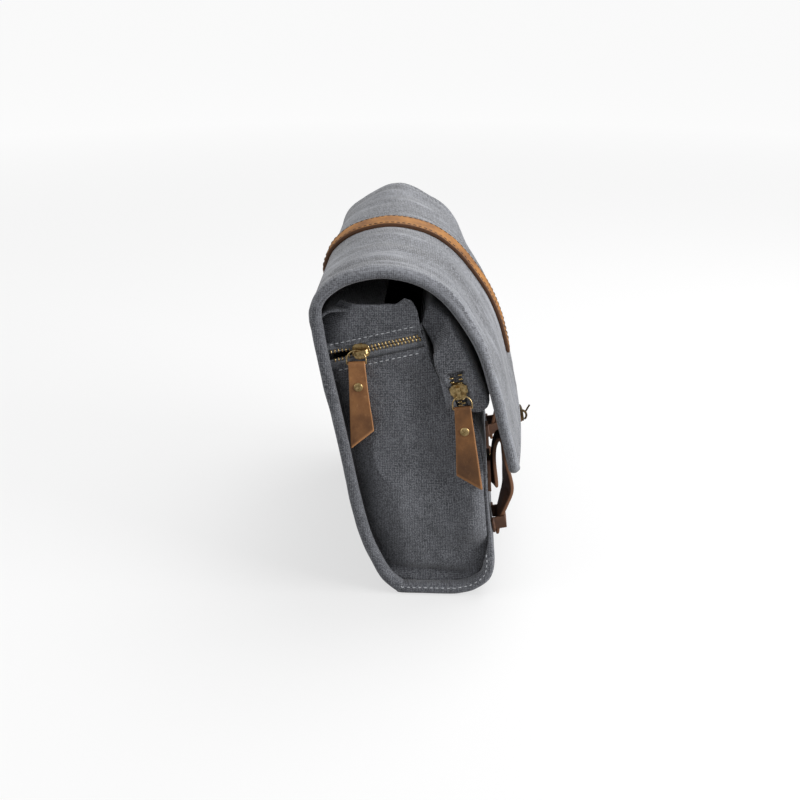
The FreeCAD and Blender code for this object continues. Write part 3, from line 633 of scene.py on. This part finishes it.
def flapSection(hemStart, middle, count, scale=1.0):
    # across the flap: x, depth from the outer face and wear, with a roll at each hem
    across = np.linspace(1, -1, count)
    hem = [(hemStart + flap["hemWidth"] * scale * a, flap["hem"] * b, 1.0 if b < 0.5 and a > 0.5 else 0.1)
           for a, b in flap["lip"]]
    section = [(hemStart * s, 0.0, 0.0) for s in across] + [(-x, n, w) for x, n, w in hem]
    return section + [(-hemStart * s, middle, 0.0) for s in across] + hem[::-1]


rootCloth = {"low": 248.0, "high": 275.0}


def makeRoot():
    # the cloth that runs on from the back into the flap
    section = flapSection(flap["halfWidth"] - flap["hemWidth"], flap["cloth"], 60)
    grid = []
    for z in np.linspace(rootCloth["low"], rootCloth["high"], 30):
        y = np.interp(z, (227.0, 260.5, 272.0, 286.5), (100.0, 105.0, 104.6, 97.5))
        share = (z - rootCloth["low"]) / (rootCloth["high"] - rootCloth["low"])
        grow = 0.9 * math.sin(math.pi * share) - 0.35
        grid.append([((x + math.copysign(grow * smoothStep(abs(x), 140, 152), x)) * mm,
                      (y - n + grow * (1 if n < 2 else -0.6)) * mm, z * mm) for x, n, _ in section])
    root = gridMesh("flap_root", grid)
    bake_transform(root)


def flapHalf(left):
    # half the flap's width, rounded off at its lower corners
    corner = flap["corner"] * mm
    return flap["halfWidth"] * mm - corner + math.sqrt(corner ** 2 - max(corner - left, 0.0) ** 2)


def makeFlap():
    data = flapCurve()
    line, _, left = data
    edge, core = flap["edge"] * mm, 0.5 * flap["hem"]
    grid, wear, flow = [], [], []
    for i in range(len(line)):
        half = flapHalf(left[i])
        end = math.sqrt(max(0.0, 1 - max(0.0, 1 - left[i] / edge) ** 2))
        bottom = 1 - smoothStep(left[i], 13.5 * mm, 15.5 * mm)
        middle = flap["cloth"] + (flap["hem"] - flap["cloth"]) * bottom
        row, worn, drawn = [], [], []
        for x, n, w in flapSection(half - flap["hemWidth"] * mm, middle, 90, mm):
            depth = (core + (n - core) * end if left[i] < edge else n) * mm
            point = flapPoint(x, i, depth, data)
            if n < 1.0:
                depth -= flapCrease(x, left[i], point)
                inFrom = (half - abs(x)) / mm
                for seam, deep in ((10.2, 0.6), (12.6, 0.35)):
                    for gap in (inFrom, left[i] / mm):
                        depth += deep * mm * bell(gap, seam, 0.8)
                depth -= 0.8 * mm * smoothStep(inFrom, 2.0, 5.0) * (1 - smoothStep(inFrom, 8.0, 10.4))
                point = flapPoint(x, i, depth, data)
            row.append(point)
            worn.append(max(w, 0.9 * (1 - smoothStep(left[i], 1 * mm, 6 * mm))))
            drawn.append((x * 95.0, left[i] * 15.0, n))
        grid.append(row)
        wear.append(worn)
        flow.append(drawn)
    cloth = gridMesh("flap_cloth", grid, wear, finish="flapCanvas", flow=flow)
    place(cloth, "flap", "canvas", "flap_panel", "flap_front_hem", "flap_right_hem", "flap_left_hem")
    makeRoot()
    half = flap["liningHalf"] * mm
    inside = [[flapPoint(x, i, (flap["cloth"] + 0.7 + 0.3 * ripple((x, *line[i]), 0.03, 6.0)) * mm, data)
               for x in np.linspace(-half, half, 70)] for i in range(2, len(line) - 14)]
    lining = gridMesh("flap_lining_cloth", inside, closedRound=False, finish="lining")
    bake(lining, "SOLIDIFY", thickness=flap["liningThickness"] * mm)
    place(lining, "flap", "lining", "flap_lining")


# ---- neck ----
neck = {
    "inner": [(12.2, 255.0), (3.6, 238.0), (-4.2, 215.5), (-17.3, 190.5), (-33.7, 178.5)],
    "outer": [(8.8, 269.0), (3.0, 275.0), (-11.5, 262.5), (-24.5, 242.0), (-35.5, 219.0), (-44.0, 198.0),
              (-48.3, 186.0)],
    "halfWidth": 148.6, "rootHalfWidth": 138.0, "edge": 9.5, "belly": 2.0, "drape": 5.2,
    "seam": ((-17.7, 218.3), (-33.5, 227.7))}
mouthZip = {"centre": (-19.0, 206.0), "along": (0.234, 0.972), "low": -24.0, "high": 11.0, "halfWidth": 7.4,
            "sink": 4.4}


def neckSection(full):
    # across the neck: the wall behind (m = 1), the near cheek, the wall in front (m = -1) and the far cheek
    flat = full - neck["edge"]
    bend = np.radians(np.linspace(0, 90, 7)[1:])
    rounded = [(-flat - neck["edge"] * math.sin(r), 1 - 0.28 * (1 - math.cos(r))) for r in bend]
    cheek = rounded + [(-full, m) for m in np.linspace(0.72, -0.72, 26)[1:-1]]
    cheek += [(x, -m) for x, m in reversed(rounded)]
    wall = [(flat * s, 1.0) for s in np.linspace(1, -1, 56)]
    return wall + cheek + [(-x, -1.0) for x, m in wall] + [(-x, m) for x, m in reversed(cheek)]


def neckCheek(x, m, w, y, z):
    # how far out a cheek's point lies: the near one is sunk behind the zip, the far one bellied and seamed
    if x < 0:
        s, t = placeAlong(mouthZip, y, z)
        beside = max(s - mouthZip["high"], mouthZip["low"] - s, abs(t) - mouthZip["halfWidth"])
        return x + mouthZip["sink"] * (1 - smoothStep(beside, -1.2, 0.6)) - 0.5 * bell(beside, 2.0, 2.0)
    (ya, za), (yb, zb) = neck["seam"]
    past = ((y - ya) * (zb - za) - (z - za) * (yb - ya)) / math.hypot(yb - ya, zb - za)
    doubled = 0.9 * (1 - smoothStep(past, -0.5, 0.7)) if m > 0 else 0.0
    return x + neck["belly"] * (1 - (m / 0.8) ** 2) * smoothStep(w, 0.3, 0.45) + doubled


def makeNeck():
    count = 110
    inner, outer = smoothLine(neck["inner"], count), smoothLine(neck["outer"], count)
    grid = []
    for i in range(count):
        w = i / (count - 1)
        centre, reach = 0.5 * (inner[i] + outer[i]), 0.5 * (outer[i] - inner[i])
        full = neck["rootHalfWidth"] + (neck["halfWidth"] - neck["rootHalfWidth"]) * smoothStep(w, 0.22, 0.31)
        shut = 0.28 + 0.72 * math.sqrt(max(0.0, 1 - max(0.0, (w - 0.965) / 0.035) ** 2))
        row = []
        for x, m in neckSection(full):
            yz = centre + reach * m * shut
            spot = (x * mm, *yz)
            soft = 0.5 * ripple(spot, 0.03, 8.4) + 0.25 * ripple(spot, 0.011, 2.9)
            drape = neck["drape"] * bell(w, 0.5, 0.22) * smoothStep(abs(x), 143.5, 148.0)
            yz = yz + np.array((drape * mm * smoothStep(-m, -0.5, 0.9), 0.0))
            yz = yz - reach / np.linalg.norm(reach) * farSag(x * mm, 0.0, yz[1]) * smoothStep(m, -0.4, 0.9)
            if abs(x) > full - 1.0:
                x = neckCheek(x, m, w, *(yz / mm))
            row.append((x * mm, *(centre + (yz - centre) * (1 + soft / 24))))
        grid.append(row)
    sleeve = gridMesh("neck_sleeve", grid)
    place(sleeve, "neck", "canvas", "neck_outer_wall", "neck_inner_wall", "right_neck_side", "left_neck_side")


# ---- leather ----
def ribbon(name, route, widthWay, halfWidths, thick, finish, slant=None, cup=0.25, shades=None, wobble=0.2):
    # a strip with rounded cut edges along a route, its width lying along widthWay
    route = np.array(route, float)
    count = len(route)
    along = unit(np.gradient(route, axis=0))
    ways = unit(np.array(widthWay, float) * np.ones((count, 1)))
    halves = halfWidths * np.ones(count)
    upper = [(s, 0.5) for s in np.linspace(0.97, -0.97, 20)]
    upper += [(-0.995, 0.36), (-1.0, 0.12), (-1.0, -0.12), (-0.995, -0.36)]
    section = upper + [(-s, -n) for s, n in upper]
    grid, wear, shade = [], [], []
    for i in range(count):
        normal = np.cross(along[i], ways[i])
        normal /= np.linalg.norm(normal)
        end = min(i, count - 1 - i)
        deep = thick * (0.55, 0.9, 1.0)[min(end, 2)]
        row, worn = [], []
        for s, n in section:
            at = route[i] + ways[i] * s * halves[i] + normal * n * deep
            at = at + normal * (cup * s * s + wobble * ripple(at, 0.013, 3.3)) * mm
            if slant is not None:
                at = at + along[i] * slant(i, s)
            row.append(at)
            worn.append(1.0 if abs(s) > 0.98 or end == 0 else (0.4 if abs(s) > 0.92 or end == 1 else 0.0))
        grid.append(row)
        wear.append(worn)
        shade.append([0.0 if shades is None else shades[i]] * len(section))
    return gridMesh(name, grid, wear, finish=finish, shade=shade)


def tube(name, route, radius, finish):
    # round wire along a closed route
    route = np.array(route, float)
    along = unit(np.roll(route, -1, axis=0) - np.roll(route, 1, axis=0))
    plane = np.linalg.svd(route - route.mean(axis=0))[2][2]
    turns = np.linspace(0, 2 * math.pi, 12, endpoint=False)
    grid = [[at + radius * (math.cos(a) * plane + math.sin(a) * np.cross(way, plane)) for a in turns]
            for at, way in zip(route, along)]
    return gridMesh(name, grid + grid[:1], caps=False, finish=finish)


def dome(name, centre, outward, radius, height, finish):
    # a rivet's cap with a rounded edge
    outward = Vector(outward).normalized()
    first = outward.orthogonal().normalized()
    second = outward.cross(first)
    turns = np.linspace(0, 2 * math.pi, 28, endpoint=False)
    outline = [(1.0, -0.05), (1.02, 0.12), (1.0, 0.3), (0.93, 0.5), (0.8, 0.7), (0.6, 0.87), (0.35, 0.97),
               (0.12, 1.0)]
    grid = [[centre + outward * h * height + (first * math.cos(a) + second * math.sin(a)) * r * radius
             for a in turns] for r, h in outline]
    return gridMesh(name, grid, finish=finish)


def joined(name, parts):
    # several meshes of one material as one piece
    work = bmesh.new()
    for part in parts:
        work.from_mesh(part.data)
    mesh = bpy.data.meshes.new(name)
    work.to_mesh(mesh)
    work.free()
    smoothFaces(mesh)
    mesh.materials.append(parts[0].data.materials[0])
    for part in parts:
        bpy.data.objects.remove(part)
    return addObject(name, mesh)


topStrap = {"halfWidth": 15.0, "thickness": 3.8, "gap": 0.3, "hidden": 46}
frontStrap = {
    "line": [(-54.2, 91.0), (-54.0, 106.0), (-54.0, 122.0), (-55.0, 133.5), (-58.0, 139.5), (-61.0, 134.0),
             (-62.6, 122.0), (-66.0, 104.0), (-67.6, 88.0), (-64.6, 74.0), (-61.0, 61.0), (-59.4, 50.0),
             (-59.2, 43.0)],
    "x": 105.0, "halfWidth": 10.0, "thickness": 3.2, "turn": 0.4, "rivet": (-56.0, 98.0)}
pull = {"loop": 2.5, "length": 80.5, "cut": 16.0, "topHalf": 7.0, "bottomHalf": 10.5, "ply": 1.5, "neck": 9.0,
        "rivetDrop": 20.5, "rivetRadius": 4.0, "rivetHeight": 1.5}
ring = {"half": 8.3, "drop": 4.0, "corner": 1.0, "wire": 1.3}


def makeTopStrap():
    line, inward = flapCurve()[:2]
    out = -(topStrap["gap"] + 0.5 * topStrap["thickness"]) * mm
    path = []
    for i in range(len(line) - topStrap["hidden"]):
        y, z = line[i]
        path.append((0.0, y + inward[i][0] * out + flapOut(0, y, z), z + inward[i][1] * out))
    strap = ribbon("top_strap_leather", path, (1, 0, 0), topStrap["halfWidth"] * mm,
                   topStrap["thickness"] * mm, "tan_leather", cup=-0.3)
    place(strap, "flap", "tan_leather", "top_strap")


def rivetCap(name, spot, way, height):
    return dome(name, spot, way, pull["rivetRadius"] * mm, height * mm, "antique_brass")


def makeFrontStraps():
    loose = smoothLine(frontStrap["line"], 130)
    for sign, name in ((-1, "right"), (1, "left")):
        x = sign * frontStrap["x"] * mm
        turns = [(1, -sign * frontStrap["turn"] * bell(z / mm, 88, 24), 0)
                 for z in loose[:, 1]]
        piece = ribbon(name + "_front_leather", [(x, y, z) for y, z in loose], turns,
                       frontStrap["halfWidth"] * mm, frontStrap["thickness"] * mm, "dark_leather", cup=0.4)
        place(piece, "bag", "dark_leather", name + "_front_strap")
        y, z = frontStrap["rivet"]
        spot = Vector((x, y * mm, z * mm))
        cap = rivetCap(name + "_strap_rivet_cap", spot, (0, -1, 0), pull["rivetHeight"])
        place(cap, "bag", "antique_brass", name + "_strap_rivet")


def jointNamed(name):
    return next(j for j in frame["joints"] if j["name"] == name)


def makeRing(name, bar, across, up, body, node):
    # D ring: a straight bar with small corners and a half circle
    half, corner, top = ring["half"] * mm, ring["corner"] * mm, ring["drop"] * mm
    small = [(half - corner + corner * math.sin(a), corner - corner * math.cos(a))
             for a in np.linspace(0.4, 1.4, 3)]
    flat = [(w, 0.0) for w in np.linspace(-half + corner, half - corner, 8)] + small
    flat += [(half * math.cos(a), top + half * math.sin(a)) for a in np.linspace(0, math.pi, 22)]
    flat += [(-w, h) for w, h in reversed(small)]
    wire = tube(name, [tuple(bar + across * w + up * h) for w, h in flat], 0.5 * ring["wire"] * mm,
                "antique_brass")
    place(wire, body, "antique_brass", node)


def pullBow(share):
    return 0.5 * math.sin(math.pi * share) + 0.7 * share ** 2


def makePull(name, longSide):
    # two plies of leather folded over the ring's bar and riveted together
    lift, swing = jointNamed(name + "_pull_lift"), jointNamed(name + "_ring_swing")
    bar, across = Vector(lift["pos_m"]), Vector(lift["axis"]).normalized()
    down = (bar - Vector(swing["pos_m"])).normalized()
    out = Vector((-1, 0, 0))
    makeRing(name + "_zip_d_ring", bar, across, -down, name + "_ring", name + "_zip_ring")
    reach = pull["length"] - pull["loop"]
    turn = pull["loop"] - 0.5 * pull["ply"]
    near = 0.5 * pull["ply"] + 0.03
    ply = [(h, near) for h in np.linspace(reach, pull["neck"], 40)]
    ply += [(h, near + (turn - near) * smoothStep(pull["neck"] - h, 0, pull["neck"]))
            for h in np.linspace(7.5, 1, 5)]
    fold = [(-turn * math.sin(a), -turn * math.cos(a)) for a in np.linspace(0, math.pi, 11)]
    plies = [(h, -n) for h, n in ply] + fold + ply[::-1]
    shares = [max(0.0, h) / reach for h, n in plies]
    route = []
    for share, (h, n) in zip(shares, plies):
        shift = 0.7 * share * longSide if n < 0 else 0.0
        route.append(tuple(bar + (down * h + out * (n + pullBow(share)) + across * shift) * mm))

    def slant(i, s):
        way = -1 if i < len(plies) / 2 else 1
        return -way * pull["cut"] * mm * 0.5 * (1 - s * longSide) * smoothStep(shares[i], 0.2, 1.0) ** 1.5

    halves = (pull["topHalf"] + (pull["bottomHalf"] - pull["topHalf"]) * np.array(shares)) * mm
    # the shades darken the leather towards its lower end as painted shade
    tab = ribbon(name + "_pull_leather", route, across, halves, pull["ply"] * mm, name + "_pull", slant=slant,
                 cup=0.0, shades=[smoothStep(share, 0.25, 0.95) for share in shares], wobble=0.3)
    place(tab, name + "_pull", "tan_leather", name + "_zip_pull")
    bow = pullBow(pull["rivetDrop"] / reach)
    caps = []
    for way, height in ((1, pull["rivetHeight"]), (-1, 0.8)):
        spot = bar + (down * pull["rivetDrop"] + out * (way * pull["ply"] + bow)) * mm
        caps.append(rivetCap(name + "_cap", spot, out * way, height))
    place(joined(name + "_pull_rivet", caps), name + "_pull", "antique_brass", name + "_zip_rivet")


def softCopy(node, name, finish, bevel):
    # a cloth or leather version of a plain CAD piece, with its edges rounded where it bevels
    mesh = frame["nodes"][node].data.copy()
    cleanMesh(mesh, 0.00002, flatten=bevel > 0)
    mesh.name = name
    mesh.materials.clear()
    mesh.materials.append(finishes[finish])
    piece = addObject(name, mesh)
    if bevel:
        bake(piece, "BEVEL", width=bevel * mm, segments=3, limit_method="ANGLE", angle_limit=0.6)
    smoothFaces(piece.data)
    body = next(b for b, members in frame["record"]["behaviour"]["bodies"].items() if node in members)
    return place(piece, body, finish, node)


trim = (("right_strap_keeper", "right_keeper_leather", "dark_leather", 0.6),
        ("left_strap_keeper", "left_keeper_leather", "dark_leather", 0.6),
        ("right_strap_anchor", "right_anchor_leather", "dark_leather", 0.6),
        ("left_strap_anchor", "left_anchor_leather", "dark_leather", 0.6),
        ("catch_tab", "catch_leather", "dark_leather", 0.4),
        ("hook_tail", "hook_tail_leather", "dark_leather", 0.6),
        ("mouth_side_tapes", "mouth_tape_cloth", "zip_tape", 0.0),
        ("mouth_end_tape", "mouth_end_cloth", "zip_tape", 0.0),
        ("top_panel", "top_panel_cloth", "canvas", 0.5),
        ("back_foam", "back_pad", "foam", 2.5),
        ("base_board", "base_stiffener", "board", 0.6))


def makeTrim():
    for row in trim:
        piece = softCopy(*row)
    makeRing("catch_d_ring", Vector(jointNamed("catch_ring_swing")["pos_m"]), Vector((1, 0, 0)),
             Vector((0, 0, -1)), "catch_ring", "catch_ring")


# ---- stitches ----
def repeatTree(name, inputs):
    # a tree that sets copies of a shape along paths, at the distance that its first input says
    tree = bpy.data.node_groups.new(name, "GeometryNodeTree")
    for label, kind in (("Geometry", "Geometry"), *inputs, ("Material", "Material")):
        tree.interface.new_socket(label, in_out="INPUT", socket_type="NodeSocket" + kind)
    tree.interface.new_socket("Geometry", in_out="OUTPUT", socket_type="NodeSocketGeometry")
    source = addNode(tree, "NodeGroupInput").outputs
    spread = tree.nodes.new("GeometryNodeCurveToPoints")
    spread.mode = "LENGTH"
    feed(tree, spread, {"Curve": source["Geometry"], "Length": source[inputs[0][0]]})
    copies = addNode(tree, "GeometryNodeInstanceOnPoints", {"Points": spread.outputs["Points"]})
    real = addNode(tree, "GeometryNodeRealizeInstances", {"Geometry": copies.outputs["Instances"]})
    paint = addNode(tree, "GeometryNodeSetMaterial", {"Geometry": real.outputs["Geometry"],
                                                      "Material": source["Material"]})
    addNode(tree, "NodeGroupOutput", {"Geometry": paint.outputs["Geometry"]})
    return tree, source, spread, copies


def stitchTree():
    tree, source, spread, copies = repeatTree("stitchRun", (("Spacing", "Float"), ("Stitch Length", "Float"),
                                                            ("Thread", "Float")))
    ball = addNode(tree, "GeometryNodeMeshUVSphere", {"Segments": 8, "Rings": 5, "Radius": 0.5})
    scale = addNode(tree, "ShaderNodeCombineXYZ", {"X": source["Thread"], "Y": source["Thread"],
                                                   "Z": source["Stitch Length"]})
    feed(tree, copies, {"Rotation": spread.outputs["Rotation"], "Instance": ball.outputs["Mesh"],
                        "Scale": scale.outputs[0]})
    return tree


def toothTree():
    tree, source, _, copies = repeatTree("toothRun", (("Pitch", "Float"), ("Tooth Size", "Vector"),
                                                      ("Turn", "Vector")))
    block = addNode(tree, "GeometryNodeMeshCube", {"Size": source["Tooth Size"]})
    soft = addNode(tree, "GeometryNodeSubdivisionSurface", {"Mesh": block.outputs["Mesh"], "Level": 1,
                                                            "Edge Crease": 0.45})
    feed(tree, copies, {"Instance": soft.outputs["Mesh"], "Rotation": source["Turn"]})
    return tree


def runAlong(tree, name, runs, values):
    # one piece of a tree's shapes along paths of points
    data = bpy.data.curves.new(name + "_path", "CURVE")
    data.dimensions = "3D"
    for points in runs:
        spline = data.splines.new("POLY")
        spline.points.add(len(points) - 1)
        for point, co in zip(spline.points, points):
            point.co = (*co, 1)
    path = addObject(name + "_path", data)
    modifier = path.modifiers.new("repeat", "NODES")
    modifier.node_group = tree
    for item in tree.interface.items_tree:
        if item.in_out == "INPUT" and item.name in values:
            modifier[item.identifier] = values[item.name]
    bpy.context.view_layer.update()
    mesh = bpy.data.meshes.new_from_object(path.evaluated_get(bpy.context.evaluated_depsgraph_get()))
    bpy.data.objects.remove(path)
    smoothFaces(mesh)
    return addObject(name, mesh)


def sewRun(name, runs, body, finish, spacing=5.0, length=3.6, thread=1.0):
    piece = runAlong(stitches, name, runs, {"Spacing": spacing * mm, "Stitch Length": length * mm,
                                            "Thread": thread * mm, "Material": finishes[finish]})
    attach(piece, body)


chain = {"pitch": 3.0, "width": 1.35, "length": 3.9, "height": 2.8, "closedAt": 1.45, "openAt": 3.9}
zips = {
    "side": {"body": "bag", "node": "side_zip_teeth", "origin": (-140.1, 51.0, 235.8),
             "along": sideSlot["along"], "low": -38.5, "high": 38.5, "slider": 12.0, "longSide": 1},
    "mouth": {"body": "neck", "node": "mouth_side_teeth", "origin": (-146.5, *mouthZip["centre"]),
              "along": mouthZip["along"], "low": -20.0, "high": 8.0, "slider": -7.0, "longSide": -1}}


def zipFrame(zipper):
    # s along the chain, t across it, n out of the cloth
    s = Vector((0, *zipper["along"])).normalized()
    n = Vector((-1, 0, 0))
    return Vector(zipper["origin"]) * mm, s, n.cross(s), n


def makeTeeth(name, zipper):
    # closed rows that mesh with each other below the slider, and parted rows above it
    start, s, t, n = zipFrame(zipper)
    low, high, slider = zipper["low"], zipper["high"], zipper["slider"]
    rows = []
    for sign, offset in ((1, 0.0), (-1, 0.5 * chain["pitch"])):
        closed = t * sign * chain["closedAt"]
        parted = []
        for k in np.linspace(0, 1, 16):
            away = chain["closedAt"] + (chain["openAt"] - chain["closedAt"]) * smoothStep(k, 0.0, 0.7)
            along = slider + 2.0 + offset + k * (high - slider - 4.0)
            parted.append(start + (s * along + t * sign * away) * mm)
        rows += [[start + (s * (low + offset) + closed) * mm, start + (s * slider + closed) * mm], parted]
    size = Vector((chain["width"], chain["length"], chain["height"])) * mm
    turn = Vector(Matrix((s, t, n)).transposed().to_euler())
    values = {"Pitch": chain["pitch"] * mm, "Tooth Size": size, "Turn": turn,
              "Material": finishes["antique_brass"]}
    piece = runAlong(teeth, name + "_chain_teeth", rows, values)
    place(piece, zipper["body"], "antique_brass", zipper["node"])


tape = {"half": 43.0, "edge": 0.5, "outer": 12.0, "partFrom": 12.0, "partTo": 26.0,
        "section": ((0.0, 0.0), (0.1, 0.8), (1.1, 0.9), (1.5, 0.25), (3.6, 0.2), (3.9, 0.42), (4.4, 0.42),
                    (4.7, 0.2))}


def makeTapes():
    # woven tapes under the side chain, each with a corded edge that carries its row of teeth
    start, s, t, n = zipFrame(zips["side"])
    strips = []
    for sign in (1, -1):
        grid = []
        for k in np.linspace(-tape["half"], tape["half"], 70):
            parted = smoothStep(k, tape["partFrom"], tape["partTo"])
            edge = tape["edge"] + (chain["openAt"] - chain["closedAt"]) * parted
            section = [(edge + w, lift) for w, lift in tape["section"]]
            section += [(tape["outer"], 0.15), (tape["outer"], -0.4), (edge, -0.4)]
            grid.append([start + (s * k + t * sign * w + n * (lift - 0.1)) * mm for w, lift in section])
        strips.append(gridMesh("tape", grid, finish="zip_tape"))
    place(joined("side_tape_cloth", strips), "bag", "zip_tape", "side_zip_tapes")


def makeZips():
    makeTapes()
    for name, zipper in zips.items():
        makeTeeth(name, zipper)
    for name, zipper in zips.items():
        makePull(name, zipper["longSide"])


seams = {"flapSide": 143.6, "flapLow": 11.4, "flapHalf": 138.0, "slotGap": 4.2, "slotOut": 1.1,
         "baseSide": 154.7, "baseIn": 7.4, "strapSide": 12.4}


def makeStitches():
    data = flapCurve()
    line, inward, left = data
    runs = []
    for sign in (-1, 1):
        x = sign * seams["flapSide"] * mm
        runs.append([flapPoint(x, i, 0.15 * mm - flapCrease(x, left[i], flapPoint(x, i, 0, data)), data)
                     for i in range(6, len(line) - 12)])
    low = next(i for i in range(len(line)) if left[i] < seams["flapLow"] * mm)
    runs.append([flapPoint(x * mm, low, 0.1 * mm, data)
                 for x in np.linspace(-seams["flapHalf"], seams["flapHalf"], 120)])
    sewRun("flap_stitches", runs, "flap", "greyThread", length=3.2, thread=0.8)
    centre, (a, b) = sideSlot["centre"], sideSlot["along"]
    x = -side["face"] - seams["slotOut"]
    runs = []
    for sign, first, last in ((-1, -34, 36), (1, -33, 34)):
        t = sign * (sideSlot["halfWidth"] + seams["slotGap"])
        runs.append([Vector((x, centre[0] + s * a + t * b, centre[1] + s * b - t * a)) * mm
                     for s in np.linspace(first, last, 60)])
    sewRun("side_slot_stitches", runs, "bag", "thread", length=3.3, thread=0.9)
    outline = smoothLine(sack["front"][-7:] + sack["base"] + sack["back"][:4], 200)
    inner = outline + insideNormals(outline) * seams["baseIn"] * mm
    for sign, name in ((-1, "right"), (1, "left")):
        run = [(sign * seams["baseSide"] * mm, *spot) for spot, (y, z) in zip(inner, outline)
               if y < 34 * mm and z < 44 * mm]
        sewRun(name + "_base_stitches", [run], "bag", "thread", length=3.0, thread=0.8)
    out = -(topStrap["gap"] + topStrap["thickness"] - 0.1) * mm
    runs = [[(sign * seams["strapSide"] * mm, y + n[0] * out + flapOut(0, y, z), z + n[1] * out)
             for (y, z), n in zip(line[4:-50], inward[4:-50])] for sign in (-1, 1)]
    sewRun("strap_stitches", runs, "flap", "darkThread", spacing=5.2, length=3.6, thread=0.9)


def main():
    makeCamera()
    makeStudio()
    for node, thing in frame["nodes"].items():
        slotName = next(row["material_slot"] for row in frame["record"]["subparts"] if row["node"] == node)
        if not thing.data.materials:
            thing.data.materials.append(None)
        for i in range(len(thing.data.materials)):
            thing.material_slots[i].material = finishes[slotName]
        if node in ("hook", "hook_plate"):
            thing.material_slots[0].material = finishes["darkBrass"]
    print("CAD pieces finished")
    makeSack()
    makeSides()
    print("sack and sides made")
    makeFlap()
    makeNeck()
    print("flap and neck made")
    makeTopStrap()
    makeFrontStraps()
    makeTrim()
    print("leather and trim made")
    makeZips()
    makeStitches()
    print("zips and stitches made")


stitches = stitchTree()
teeth = toothTree()
main()
